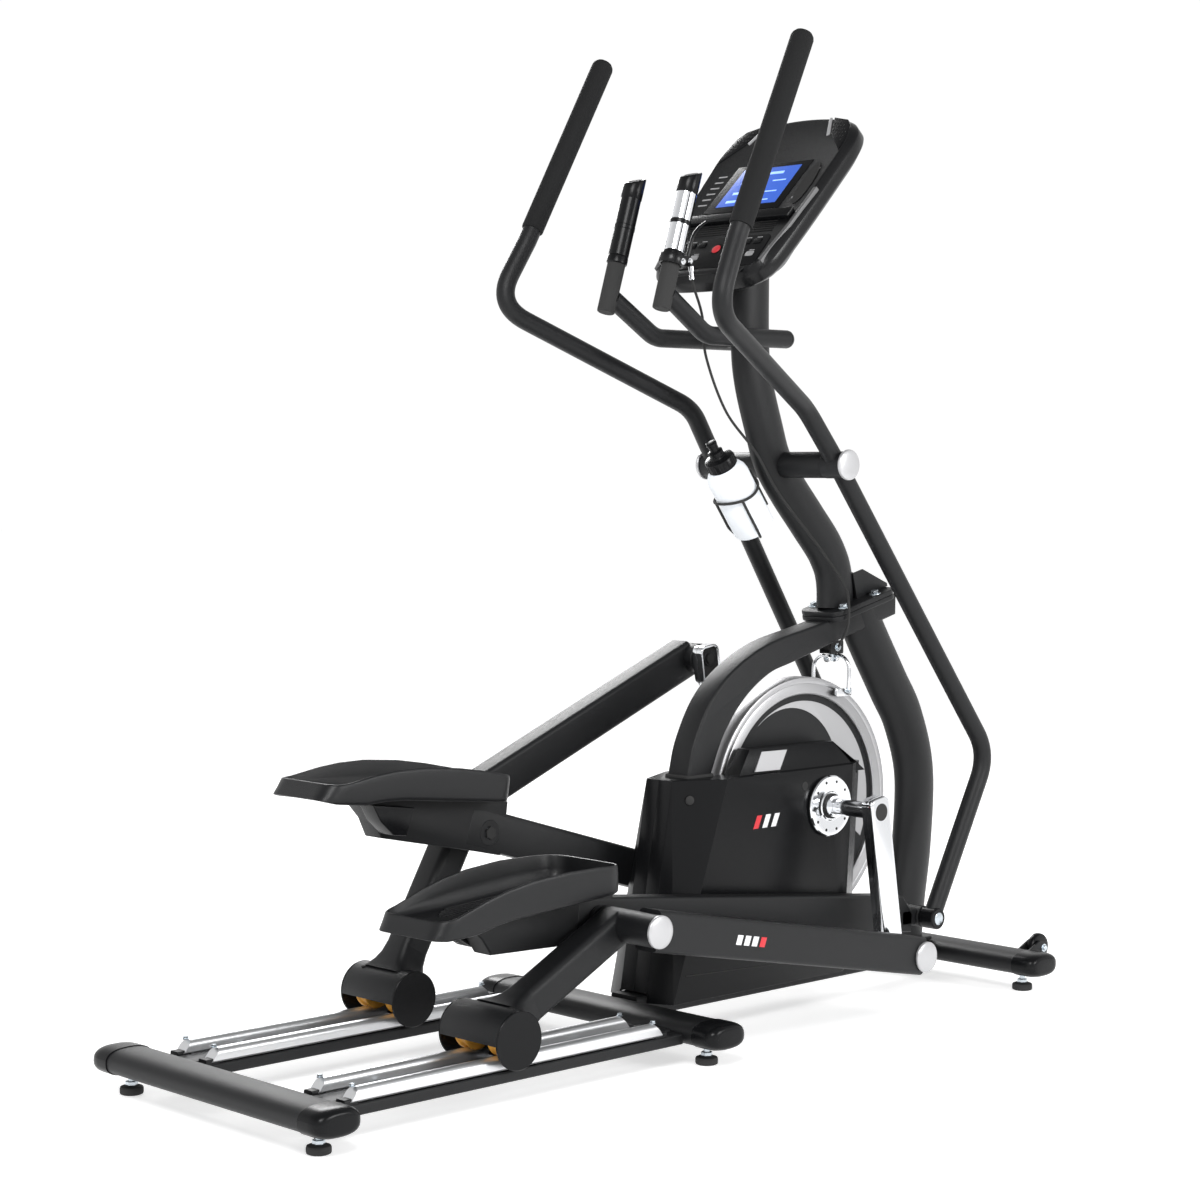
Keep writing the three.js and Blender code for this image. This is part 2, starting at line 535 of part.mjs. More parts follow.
// ---- Belt drive and flywheel ----
const DRIVE_Y = { in: 30, out: 41 };
const HUB_Y = { in: 28, out: 38 };
add("drive_pulley", turned([[AXLE_RADIUS + GAP, DRIVE_Y.in], [DRIVE_PULLEY_RADIUS, DRIVE_Y.in], [DRIVE_PULLEY_RADIUS, DRIVE_Y.out],
  [AXLE_RADIUS + GAP, DRIVE_Y.out], [AXLE_RADIUS + GAP, DRIVE_Y.in]], CRANK.x, CRANK.z, 24), "grey");
add("jackshaft", turned([[0, -HUB_Y.out], [JACK_LARGE_RADIUS, -HUB_Y.out], [JACK_LARGE_RADIUS, -HUB_Y.in],
  [JACK_SHAFT_RADIUS, -HUB_Y.in], [JACK_SHAFT_RADIUS, DRIVE_Y.in], [JACK_SMALL_RADIUS, DRIVE_Y.in],
  [JACK_SMALL_RADIUS, DRIVE_Y.out], [0, DRIVE_Y.out]], JACK.x, JACK.z, 24), "grey");
const hubBore = AXLE_RADIUS + GAP;
const rimIn = FLYWHEEL_RADIUS - RIM_DEPTH;
add("flywheel", turned([[hubBore, -HUB_Y.out], [HUB_PULLEY_RADIUS, -HUB_Y.out], [HUB_PULLEY_RADIUS, -HUB_Y.in], [20, -HUB_Y.in],
  [20, -18], [32, -14], [32, -5], [rimIn, -5], [rimIn, -RIM_HALF], [FLYWHEEL_RADIUS - 2, -RIM_HALF],
  [FLYWHEEL_RADIUS, -RIM_HALF + 2], [FLYWHEEL_RADIUS, RIM_HALF - 2], [FLYWHEEL_RADIUS - 2, RIM_HALF], [rimIn, RIM_HALF],
  [rimIn, 5], [32, 5], [32, 18], [hubBore, 18], [hubBore, -HUB_Y.out]], CRANK.x, CRANK.z, 28), "silver");

// Loop round two pulleys: each half turn keeps clear of its pulley by the gap.
function beltLoop(a, ra, b, rb, y0, y1) {
  const angle = Math.atan2(b.z - a.z, b.x - a.x);
  const distance = Math.hypot(b.x - a.x, b.z - a.z);
  const loop = (extra) => {
    const lean = Math.acos((ra - rb) / distance);
    const points = [];
    for (let i = 0; i <= 16; i++) {
      const t = angle + lean + ((2 * Math.PI - 2 * lean) * i) / 16;
      points.push([a.x + (ra + extra) * Math.cos(t), a.z + (ra + extra) * Math.sin(t)]);
    }
    for (let i = 0; i <= 8; i++) {
      const t = angle - lean + (2 * lean * i) / 8;
      points.push([b.x + (rb + extra) * Math.cos(t), b.z + (rb + extra) * Math.sin(t)]);
    }
    return points;
  };
  return cut(plate(loop(BELT_THICK + 4 * GAP), y0, y1), plate(loop(4 * GAP), y0 - 5, y1 + 5));
}
add("drive_belt", beltLoop(CRANK, DRIVE_PULLEY_RADIUS, JACK, JACK_SMALL_RADIUS, DRIVE_Y.in + 1, DRIVE_Y.out - 1), "rubber");
add("flywheel_belt", beltLoop(CRANK, HUB_PULLEY_RADIUS, JACK, JACK_LARGE_RADIUS, -HUB_Y.out + 1, -HUB_Y.in - 1), "rubber");

// ---- Housing halves ----
const SHELL = 3;
const HOUSING_TOP = 420;
const SLOT_HALF = 22;
const hull = (points) => new ConvexGeometry(points.map(([dx, y, z]) => v3(CRANK.x + dx, y, z)));
function housingHull(inset, floor, seam) {
  const points = [];
  const half = HOUSING_HALF - inset;
  for (const [z, rear, crease, front, nose] of [[HOUSING_TOP - inset, -339, -251, 66, 122], [floor, -402, -380, 40, 96]]) {
    points.push([rear + inset, seam, z], [rear + inset, 30 - inset / 2, z], [crease + inset, half, z]);
    points.push([front - inset / 2, half, z], [nose - inset, 40 - inset / 2, z], [nose - inset, seam, z]);
  }
  return hull(points);
}
const raised = hull([[-219, 24, 405], [-219, 62, 405], [115, 24, 405], [115, 60, 405], [-175, 24, 462], [-175, 52, 462],
  [43, 24, 460], [43, 48, 460]]);
const underRaised = hull([[-214, 27, 400], [-214, 59, 400], [108, 27, 400], [108, 57, 400], [-173, 27, 459], [-173, 50, 459],
  [41, 27, 457], [41, 46, 457]]);
const shellHalf = cut(
  join(cut(housingHull(0, 57, 0.2), housingHull(SHELL, 50, -5)), raised),
  underRaised,
  box(CRANK.x - 240, CRANK.x + 140, -5, SLOT_HALF, 90, 500),
  box(CRANK.x - 298, CRANK.x - 235, -5, ARCH_HALF + 1.5, 405, 500),
  box(CRANK.x - 450, CRANK.x + 200, -5, 32, 0, SPINE_TOP + 2),
  drum(CRANK.x, CRANK.z, 32, 50, 100),
);
for (const { name, side } of SIDES) {
  add(name + "_housing", toSide(shellHalf, side), "plastic");
}

// ---- Rim brake: bracket, two pad arms ----
const BRAKE = { x: CRANK.x + 92, z: CRANK.z + 200 };
const brakePivotZ = BRAKE.z + 48;
const archUnder = 618.5 + (664.5 - 618.5) * ((BRAKE.x - CRANK.x - 40) / 176);
add("brake_bracket", join(
  box(BRAKE.x - 18, BRAKE.x + 18, -14, 14, brakePivotZ + 8, archUnder - 7),
  box(BRAKE.x - 5, BRAKE.x + 5, -5, 5, brakePivotZ - 6, brakePivotZ + 10),
  spindle([[0, -16], [3, -16], [3, 16], [0, 16]], v3(BRAKE.x, 0, brakePivotZ), v3(BRAKE.x + 1, 0, brakePivotZ), 12),
), "chrome");
for (const { name, side } of SIDES) {
  const x0 = side > 0 ? BRAKE.x - 14 : BRAKE.x + 6;
  const band = sweep(bend([v3(x0 + 4, side * -2, brakePivotZ), v3(x0 + 4, side * 32, brakePivotZ - 10),
    v3(x0 + 4, side * 32, BRAKE.z - 12)], 16, 4), ovalOutline(4, 4, 10));
  const eye = spindle([[0, 0], [7, 0], [7, 8], [0, 8]], v3(x0, 0, brakePivotZ), v3(x0 + 1, 0, brakePivotZ), 16);
  const pad = box(BRAKE.x - 20, BRAKE.x + 20, side * (RIM_HALF + 2.5), side * 31, BRAKE.z - 18, BRAKE.z - 4);
  const bore = spindle([[0, -2], [3 + GAP, -2], [3 + GAP, 10], [0, 10]], v3(x0, 0, brakePivotZ), v3(x0 + 1, 0, brakePivotZ), 12);
  add(name + "_brake_arm", cut(join(band, eye, pad), bore), "chrome");
}

// ---- Rail arms, rollers, pedal beams, pedals ----
const knee = { x: KNEE.u, z: KNEE.v };
const pinAt = { x: Math.sqrt(ARM_LENGTH ** 2 - ARM_SAG ** 2), z: ARM_SAG };
const domedCap = (p) => turned([[0, ARM_BAR_OUT - 1], [26, ARM_BAR_OUT - 1], [26, ARM_BAR_OUT + 4],
  [20, ARM_BAR_OUT + CAP_THICK - 2], [0, ARM_BAR_OUT + CAP_THICK]], p.x, p.z, 16);
const coverOut = [LEG_Y - COVER_HALF, LEG_Y + COVER_HALF];
const opening = (tilt) => box(-60, 60, coverOut[0] - 5, coverOut[1] + 5, -90, ROD_CENTRE + ROD_RADIUS + 4 - ROLLER_Z).rotateY(tilt);
const cover = cut(
  drum(0, 0, COVER_RADIUS, ...coverOut, 20),
  drum(0, 0, COVER_RADIUS - COVER_WALL, coverOut[0] + COVER_WALL, coverOut[1] - COVER_WALL, 20),
);
const legEnd = { x: knee.x * 0.12, z: knee.z * 0.12 };
const rollerY = (which) => LEG_Y + (which * ROD_PITCH) / 2;
const legHalf = (ROD_PITCH - ROLLER_WIDTH) / 2 - 2;
const railArm = join(
  cut(
    join(cover, bar(legEnd, knee, 52, LEG_Y - LEG_WIDTH / 2, LEG_Y + LEG_WIDTH / 2, 10)),
    opening(0),
    opening(SIDES[0].tilt),
    ...[-1, 1].map((w) => drum(0, 0, ROLLER_RADIUS + 6, rollerY(w) - ROLLER_WIDTH / 2 - 2, rollerY(w) + ROLLER_WIDTH / 2 + 2)),
  ),
  drum(0, 0, 6, coverOut[0] + 2, coverOut[1] - 2, 16),
  drum(0, 0, 16, LEG_Y - legHalf, LEG_Y + legHalf),
  drum(knee.x, knee.z, 26, LEG_Y - LEG_WIDTH / 2, ARM_BAR_OUT),
  bar(knee, pinAt, ARM_BAR_HEIGHT, ARM_BAR_IN, ARM_BAR_OUT, 7),
  drum(pinAt.x, pinAt.z, 26, PIN_IN, ARM_BAR_OUT),
  drum(knee.x, knee.z, SPIGOT_RADIUS, BEAM_IN - 1, LEG_Y),
  domedCap(knee),
  domedCap(pinAt),
);
const groove = (y) => ROLLER_Z - ROD_CENTRE - GAP - Math.sqrt(ROD_RADIUS ** 2 - y ** 2);
const rollerProfile = [[6 + GAP, -ROLLER_WIDTH / 2], [ROLLER_RADIUS - 2, -ROLLER_WIDTH / 2], [ROLLER_RADIUS, 3 - ROLLER_WIDTH / 2]];
for (const y of [-8, -3, 3, 8]) rollerProfile.push([Math.min(groove(y) - 0.8, ROLLER_RADIUS), y]);
rollerProfile.push([ROLLER_RADIUS, ROLLER_WIDTH / 2 - 3], [ROLLER_RADIUS - 2, ROLLER_WIDTH / 2], [6 + GAP, ROLLER_WIDTH / 2]);
rollerProfile.push(rollerProfile[0]);

const pedalFrame = (g) => g.rotateY(-deg(PEDAL_TILT));
const bracket = plate([[-PEDAL_LENGTH + 98, 35.6], [-PEDAL_LENGTH + 116, 14], [-PEDAL_LENGTH + 147, -18], [-25, -31], [30, -36],
  [30, 35.6]], BEAM_IN, BEAM_OUT);
const beamTip = PEDAL_BEAM_LENGTH - 24;
const pedalBeam = cut(
  join(
    cut(
      join(
        pedalFrame(bracket),
        bar({ x: -40, z: BEAM_RISE }, { x: beamTip, z: BEAM_RISE }, BEAM_HEIGHT, BEAM_IN, BEAM_OUT, 8),
      ),
      pedalFrame(box(-PEDAL_LENGTH - 20, 10, BEAM_IN - 20, BEAM_OUT + 20, 35.6, 120)),
      placed(box(0, 80, BEAM_IN - 20, BEAM_OUT + 20, 0, 80), { x: beamTip - 34, z: 10 }, deg(-38)),
    ),
    bar({ x: beamTip - 20, z: -4 }, { x: PEDAL_BEAM_LENGTH, z: 0 }, 30, BEAM_IN + 6, BEAM_OUT, 3),
    drum(PEDAL_BEAM_LENGTH, 0, 19, BEAM_IN + 2, BEAM_OUT + 5, 20),
  ),
  drum(0, 0, SPIGOT_RADIUS + GAP, BEAM_IN - 20, BEAM_OUT + 20, 20),
);

const PEDAL_Y = BEAM_IN + 27.5;
const half = PEDAL_WIDTH / 2;
const pedalPlan = (inset) => {
  const front = 2 - inset;
  const back = 2 - PEDAL_LENGTH + inset;
  const w = half - inset;
  return smooth([[front, -w * 0.35], [front - 2, w * 0.45], [front - 30, w * 0.94], [front - 110, w], [-250, w * 0.93],
    [back + 18, w * 0.66], [back, 0], [back + 12, -w * 0.66], [-290, -w * 0.96], [-180, -w], [-60, -w * 0.98],
    [front - 16, -w * 0.86], [front, -w * 0.35]], 28).slice(0, -1);
};
const shifted = (points) => points.map(([u, y]) => [u, y + PEDAL_Y]);
const pedalSide = [...smooth([[-PEDAL_LENGTH - 10, 62], [-PEDAL_LENGTH + 30, 59], [-PEDAL_LENGTH + 90, 60], [-220, 78], [-130, 92],
  [-50, 97], [20, 95]], 12), [20, 36], [-PEDAL_LENGTH + 118, 36], [-PEDAL_LENGTH + 50, 40], [-PEDAL_LENGTH - 10, 52]];
const treadRibs = Array.from({ length: 7 }, (_, i) =>
  box(-300 + i * 38, -294 + i * 38, PEDAL_Y - half * 0.6, PEDAL_Y + half * 0.6, 43, 46.5));
const pedal = join(
  cut(
    common(plate(pedalSide, PEDAL_Y - half - 5, PEDAL_Y + half + 5), slab(shifted(pedalPlan(0)), 20, 120)),
    common(plate([[-PEDAL_LENGTH - 20, 58], [-PEDAL_LENGTH + 60, 46], [-250, 44], [20, 44], [20, 130], [-PEDAL_LENGTH - 20, 130]],
      PEDAL_Y - half, PEDAL_Y + half), slab(shifted(pedalPlan(7)), 20, 140)),
  ),
  ...treadRibs,
);

for (const { name, side, roller, tilt, knee: kneeAt, beam } of SIDES) {
  add(name + "_rail_arm", toSide(placed(railArm, roller, tilt), side), "black");
  for (const [which, w] of [["outer", 1], ["inner", -1]]) {
    const wheel = turned(rollerProfile, roller.x, roller.z, 14).translate(0, rollerY(w), 0);
    add(`${name}_${which}_roller`, toSide(wheel, side), "orange");
  }
  add(name + "_pedal_beam", toSide(placed(pedalBeam, kneeAt, beam), side), "black");
  add(name + "_pedal", toSide(placed(pedal, kneeAt, beam + deg(PEDAL_TILT)), side), "plastic");
}

// ---- Fixed handlebar with pulse grips ----
const GRIP_LOW = v3(PIVOT.x - 345, 65, PIVOT.z + 251);
const GRIP_HIGH = v3(PIVOT.x - 274, 65, PIVOT.z + 481);
const PULSE_RADIUS = 17;
const gripAxis = GRIP_HIGH.clone().sub(GRIP_LOW).normalize();
const handleTubes = [-1, 1].map((s) => tube(bend([v3(HANDLE.front, s * HANDLE.y, HANDLE.z),
  v3(PIVOT.x - 235, s * HANDLE.y, HANDLE.z), v3(PIVOT.x - 330, s * 64, HANDLE.z + 62)], 60, 4), HANDLE.radius, 12));
const gripRoom = [-1, 1].map((s) => {
  const from = v3(GRIP_LOW.x, s * GRIP_LOW.y, GRIP_LOW.z).addScaledVector(gripAxis, -20);
  return spindle([[0, 0], [PULSE_RADIUS + GAP, 0], [PULSE_RADIUS + GAP, 280], [0, 280]], from, from.clone().add(gripAxis), 16);
});
add("fixed_handlebar", cut(
  join(...handleTubes, drum(HANDLE_CROSS.x, HANDLE.z, HANDLE_CROSS.radius, -HANDLE.y, HANDLE.y, 16)),
  ...gripRoom,
), "black");
const gripLength = GRIP_LOW.distanceTo(GRIP_HIGH);
const pulse = [[0, 0], [PULSE_RADIUS - 4, 0], [PULSE_RADIUS, 3], [PULSE_RADIUS, 96], [PULSE_RADIUS - 1, 98],
  [PULSE_RADIUS - 1, gripLength - 24], [PULSE_RADIUS + 1, gripLength - 22], [PULSE_RADIUS + 1, gripLength - 6],
  [PULSE_RADIUS - 3, gripLength], [0, gripLength]];
for (const { name, side } of SIDES) {
  const from = v3(GRIP_LOW.x, side * GRIP_LOW.y, GRIP_LOW.z);
  add(name + "_pulse_grip", spindle(pulse, from, from.clone().add(gripAxis), 16), "rubber");
}

// ---- Brake lever on the right grip, cable to the rim brake ----
const onGrip = (d, dx, dy) => v3(GRIP_LOW.x, -GRIP_LOW.y, GRIP_LOW.z).addScaledVector(gripAxis, d).add(v3(dx, dy, 0));
const CLAMP_UP = 84; // clamp ring above the grip's lower end
const clampAt = onGrip(CLAMP_UP, 0, 0);
const ringRoom = PULSE_RADIUS + GAP;
const clampRing = [[ringRoom, -9], [ringRoom + 4, -9], [ringRoom + 4, 9], [ringRoom, 9], [ringRoom, -9]];
const leverAt = onGrip(CLAMP_UP, 34, 0);
add("lever_clamp", cut(
  join(
    spindle(clampRing, clampAt, clampAt.clone().add(gripAxis), 18),
    box(leverAt.x - 15, leverAt.x + 6, leverAt.y - 7, leverAt.y + 7, leverAt.z - 12, leverAt.z + 12),
  ),
  box(leverAt.x - 9, leverAt.x + 8, leverAt.y - 3.5, leverAt.y + 3.5, leverAt.z - 14, leverAt.z + 14),
  spindle([[0, -30], [ringRoom, -30], [ringRoom, 30], [0, 30]], clampAt, clampAt.clone().add(gripAxis), 18),
  drum(leverAt.x, leverAt.z, 2.5, leverAt.y - 10, leverAt.y + 10, 12),
), "chrome");
const leverPath = bend([v3(leverAt.x, leverAt.y, leverAt.z), v3(leverAt.x + 14, leverAt.y, leverAt.z + 44),
  v3(leverAt.x + 46, leverAt.y, leverAt.z + 68)], 24, 4);
add("brake_lever", join(
  tube(leverPath, 3, 10),
  drum(leverAt.x, leverAt.z, 5, leverAt.y - 3, leverAt.y + 3, 16),
  drum(leverAt.x, leverAt.z, 2.2, leverAt.y - 9, leverAt.y + 9, 12),
), "plastic");
const CABLE_RADIUS = 2.5;
const cablePoints = [
  v3(leverAt.x - 2, leverAt.y - 12, leverAt.z - 22), v3(leverAt.x + 14, leverAt.y - 4, leverAt.z - 44),
  v3(PIVOT.x - 222, -38, PIVOT.z + 246), v3(PIVOT.x - 196, -22, PIVOT.z + 180), v3(PIVOT.x - 150, -24, PIVOT.z + 90),
  v3(PIVOT.x - 90, -36, PIVOT.z + 22), v3(PIVOT.x - 30, -36, PIVOT.z - 50), at(20, 800), at(68, 735), at(74, 700), at(76, 660),
  at(78, 632),
].map((p) => (p.isVector3 ? p : v3(p[0], -34, p[1])));
cablePoints[9].y = -56;
cablePoints[8].y = -50;
cablePoints[10].y = -52;
cablePoints.push(v3(BRAKE.x - 8, -24, brakePivotZ + 22));
add("brake_cable", tube(new THREE.CatmullRomCurve3(cablePoints, false, "centripetal").getPoints(36), CABLE_RADIUS, 6), "rubber");

// ---- Console ----
const FACE_TILT = deg(48.2);
const CONSOLE = v3(PIVOT.x - 190, 0, PIVOT.z + 316); // middle of the face's lower edge
const CONSOLE_WIDTH = 300;
const CONSOLE_LENGTH = 385;
const SHELL_DEPTH = 34;
function onConsole(g) {
  const up = v3(Math.cos(FACE_TILT), 0, Math.sin(FACE_TILT));
  const out = v3(-Math.sin(FACE_TILT), 0, Math.cos(FACE_TILT));
  const m = new THREE.Matrix4().makeBasis(v3(0, -1, 0), up, out);
  return g.applyMatrix4(m).translate(CONSOLE.x, CONSOLE.y, CONSOLE.z);
}
const across = CONSOLE_WIDTH / 150;
const facePlan = smooth([[0, -6], [70, -4], [108, 6], [132, 36], [143, 120], [150, 240], [151, 315], [134, 354], [90, 376],
  [0, CONSOLE_LENGTH], [-90, 376], [-134, 354], [-151, 315], [-150, 240], [-143, 120], [-132, 36], [-108, 6], [-70, -4], [0, -6]]
  .map(([a, b]) => [(a * across) / 2, b]), 28).slice(0, -1);
const inward = (points, f) => points.map(([a, b]) => [a * f, 190 + (b - 190) * f]);
const backHump = hull([]
  .concat(...[[-78, 60, 50, 40], [-30, 104, 20, 25]].map(([w, h, low, high]) => [
    [-h, low, w], [h, low, w], [-h, CONSOLE_LENGTH - 60 - high, w], [h, CONSOLE_LENGTH - 60 - high, w],
  ])).map(([a, b, c]) => [a - CRANK.x, b, c]));
const DISPLAY = { w: 76, low: 168, high: 258 };
const mastRoom = sweep(inPlane([...upperPath.slice(-4), [PIVOT.x - 66, MAST_TOP + 2 * GAP]]),
  ovalOutline(MAST_Y + 2 * GAP, 40 + 2 * GAP, 14));
add("console_shell", cut(
  join(
    onConsole(slab(facePlan, -SHELL_DEPTH, 0)),
    onConsole(slab(inward(facePlan, 0.93), -SHELL_DEPTH - 10, 1 - SHELL_DEPTH)),
    onConsole(backHump),
  ),
  onConsole(box(-DISPLAY.w - GAP, DISPLAY.w + GAP, DISPLAY.low - GAP, DISPLAY.high + GAP, -5, 5)),
  onConsole(post(0, 62, 9 + GAP, -8, 5, 20)),
  mastRoom,
), "plastic");
add("console_display", onConsole(box(-DISPLAY.w, DISPLAY.w, DISPLAY.low, DISPLAY.high, -5 + GAP, -1)), "blue");
add("start_key", onConsole(post(0, 62, 9, -5, 2.5, 20)), "red");

// ---- Bottle in its cage behind the mast ----
const BOTTLE_LOW = v3(PIVOT.x - 52, 0, PIVOT.z - 110);
const bottleAxis = v3(-0.598, 0, 0.802).normalize();
const BOTTLE_RADIUS = 37;
const bottle = [[0, 0], [BOTTLE_RADIUS - 5, 0], [BOTTLE_RADIUS, 6], [BOTTLE_RADIUS, 112], [BOTTLE_RADIUS - 5, 126], [26, 134],
  [26, 152], [14, 158], [14, 168], [9, 172], [9, 182], [0, 184]];
add("bottle", spindle(bottle, BOTTLE_LOW, BOTTLE_LOW.clone().add(bottleAxis), 16), "white");
const wire = 2.5;
const side3 = v3(0, 1, 0);
const front3 = bottleAxis.clone().cross(side3).negate();
const aroundBottle = (d, a, r) => BOTTLE_LOW.clone().addScaledVector(bottleAxis, d)
  .addScaledVector(side3, r * Math.sin(a)).addScaledVector(front3, r * Math.cos(a));
const cageR = BOTTLE_RADIUS + wire + 1;
const hoop = new THREE.TorusGeometry(cageR, wire, 6, 20)
  .applyQuaternion(new THREE.Quaternion().setFromUnitVectors(v3(0, 0, 1), bottleAxis))
  .translate(...aroundBottle(80, 0, 0).toArray());
add("bottle_cage", join(
  hoop,
  tube(bend([aroundBottle(80, 2.2, cageR), aroundBottle(-5, 2.2, cageR), aroundBottle(-5, -2.2, cageR),
    aroundBottle(80, -2.2, cageR)], 12, 3), wire, 6),
  tube(bend([aroundBottle(-5, Math.PI, 24), aroundBottle(-5, 0, cageR), aroundBottle(100, 0, cageR)], 8, 3), wire, 6),
), "rubber");
export default trainer;
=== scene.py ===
"""Looks of an elliptical trainer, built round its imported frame.

Lengths inside the functions are in millimetres, measured along X from the line of the rear feet.
Skin.build turns them into metres in the frame's own axes.
"""

import json
import math

import bmesh
import bpy
import numpy as np
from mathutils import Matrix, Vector


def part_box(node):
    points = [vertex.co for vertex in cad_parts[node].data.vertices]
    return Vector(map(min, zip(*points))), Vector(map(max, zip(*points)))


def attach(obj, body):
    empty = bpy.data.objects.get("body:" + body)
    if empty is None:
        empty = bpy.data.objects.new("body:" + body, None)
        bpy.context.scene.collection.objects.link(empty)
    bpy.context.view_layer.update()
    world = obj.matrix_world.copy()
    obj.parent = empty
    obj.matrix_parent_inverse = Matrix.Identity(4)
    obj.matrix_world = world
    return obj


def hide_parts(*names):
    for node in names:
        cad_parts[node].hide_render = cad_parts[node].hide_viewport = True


bl_info = {
    "name": "Elliptical Trainer Looks",
    "version": (1, 0, 0),
    "blender": (4, 5, 0),
    "location": "3D View > Sidebar > Trainer",
    "description": "Builds the visible surfaces of an elliptical trainer on its frame",
    "category": "Add Mesh",
}

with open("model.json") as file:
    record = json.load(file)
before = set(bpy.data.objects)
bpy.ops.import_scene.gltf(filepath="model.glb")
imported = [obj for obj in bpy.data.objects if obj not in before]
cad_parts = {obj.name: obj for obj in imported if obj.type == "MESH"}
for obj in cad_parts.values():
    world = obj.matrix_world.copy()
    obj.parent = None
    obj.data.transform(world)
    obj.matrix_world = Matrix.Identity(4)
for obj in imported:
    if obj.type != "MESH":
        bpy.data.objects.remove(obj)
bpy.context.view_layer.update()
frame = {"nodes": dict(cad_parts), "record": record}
SIDES = {"left": 1, "right": -1}
_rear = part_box("rear_crossbar")
REAR_LINE = -500 * (_rear[0][0] + _rear[1][0])  # rear foot line's distance behind the frame's origin


def joint_at(name):
    """Place of a hinge, in millimetres from the rear foot line."""
    joint = next(j for j in frame["record"]["behaviour"]["joints"] if j["name"] == name)
    x, y, z = joint["pos_m"]
    return np.array([1000 * x + REAR_LINE, 1000 * y, 1000 * z])


def cad_box(node):
    """Corners of a CAD node, in millimetres from the rear foot line."""
    low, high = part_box(node)
    shift = np.array([REAR_LINE, 0, 0])
    return 1000 * np.array(low) + shift, 1000 * np.array(high) + shift


CRANK = joint_at("crank_turn")
PIVOT = joint_at("right_swing_pivot") * (1, 0, 1)
FRONT_X = sum(corner[0] for corner in cad_box("front_left_foot")) / 2

# Fixed distances that several pieces share.
BAR_Z = 50  # height of the crossbars' centre line
BAR_PAST_FOOT = 52  # crossbar end beyond its foot
WHEEL_AHEAD, WHEEL_Y, WHEEL_Z = 70, 200, 66  # transport wheel: ahead of the front feet, aside, up
ROD_OUT = 37.1  # rail rod from the middle plane of its leg
KNEE = (259.4, 132.6)  # rail arm's knee from its roller, along and up in the arm's own plane
PIN = (897.2, 9.9)  # rail arm's crank pin from its roller
BEAM_REACH = 797.0  # pedal beam's knee to its front joint
JOINT_HEIGHT = 105.0  # front joint's height when it hangs straight under the swing pivot
CRANK_SPAN = 247.0  # crank axle to crank pin
CRANK_REST = math.radians(8.87)  # right crank's lean from straight down
BEAM_RISE = math.radians(9)  # pedal and its bracket from the line of the beam
WALL_Y = 74.6  # inner side of the stripes on the housing


# ---------------------------------------------------------------- sizes and colours
def colour(name, value):
    """Colour property, linear RGB."""
    return bpy.props.FloatVectorProperty(
        name=name, description=name + " of the trainer", subtype="COLOR", size=3, min=0, max=1, default=value)


def length(name, value):
    """Size property, in millimetres like every size in this file."""
    return bpy.props.FloatProperty(name=name, description=name + " in millimetres", default=value, min=0)


class TrainerColours(bpy.types.PropertyGroup):
    coat: colour("Powder coat", (0.0075, 0.0078, 0.0086))
    plastic: colour("Black plastic", (0.0048, 0.005, 0.0056))
    rubber: colour("Rubber and foam", (0.007, 0.0072, 0.0076))
    roller: colour("Rollers", (0.72, 0.27, 0.012))
    bottle: colour("Drinks bottle", (0.62, 0.67, 0.76))
    display: colour("Lit display", (0.025, 0.085, 0.72))
    shell: colour("Console back", (0.045, 0.048, 0.055))
    floor: colour("Floor", (0.8, 0.8, 0.8))


class TrainerSizes(bpy.types.PropertyGroup):
    bar_width: length("Crossbar width", 80)
    bar_height: length("Crossbar height", 40)
    swing_tube: length("Swing-arm tube radius", 16)
    foam: length("Foam grip radius", 19)
    rim: length("Flywheel radius", 220)
    pedal_length: length("Pedal length", 378)
    pedal_width: length("Pedal width", 164)


def colours():
    """The scene's colours, as the user has set them."""
    return bpy.context.scene.trainer_colours


def sizes():
    """The scene's sizes, as the user has set them."""
    return bpy.context.scene.trainer_sizes


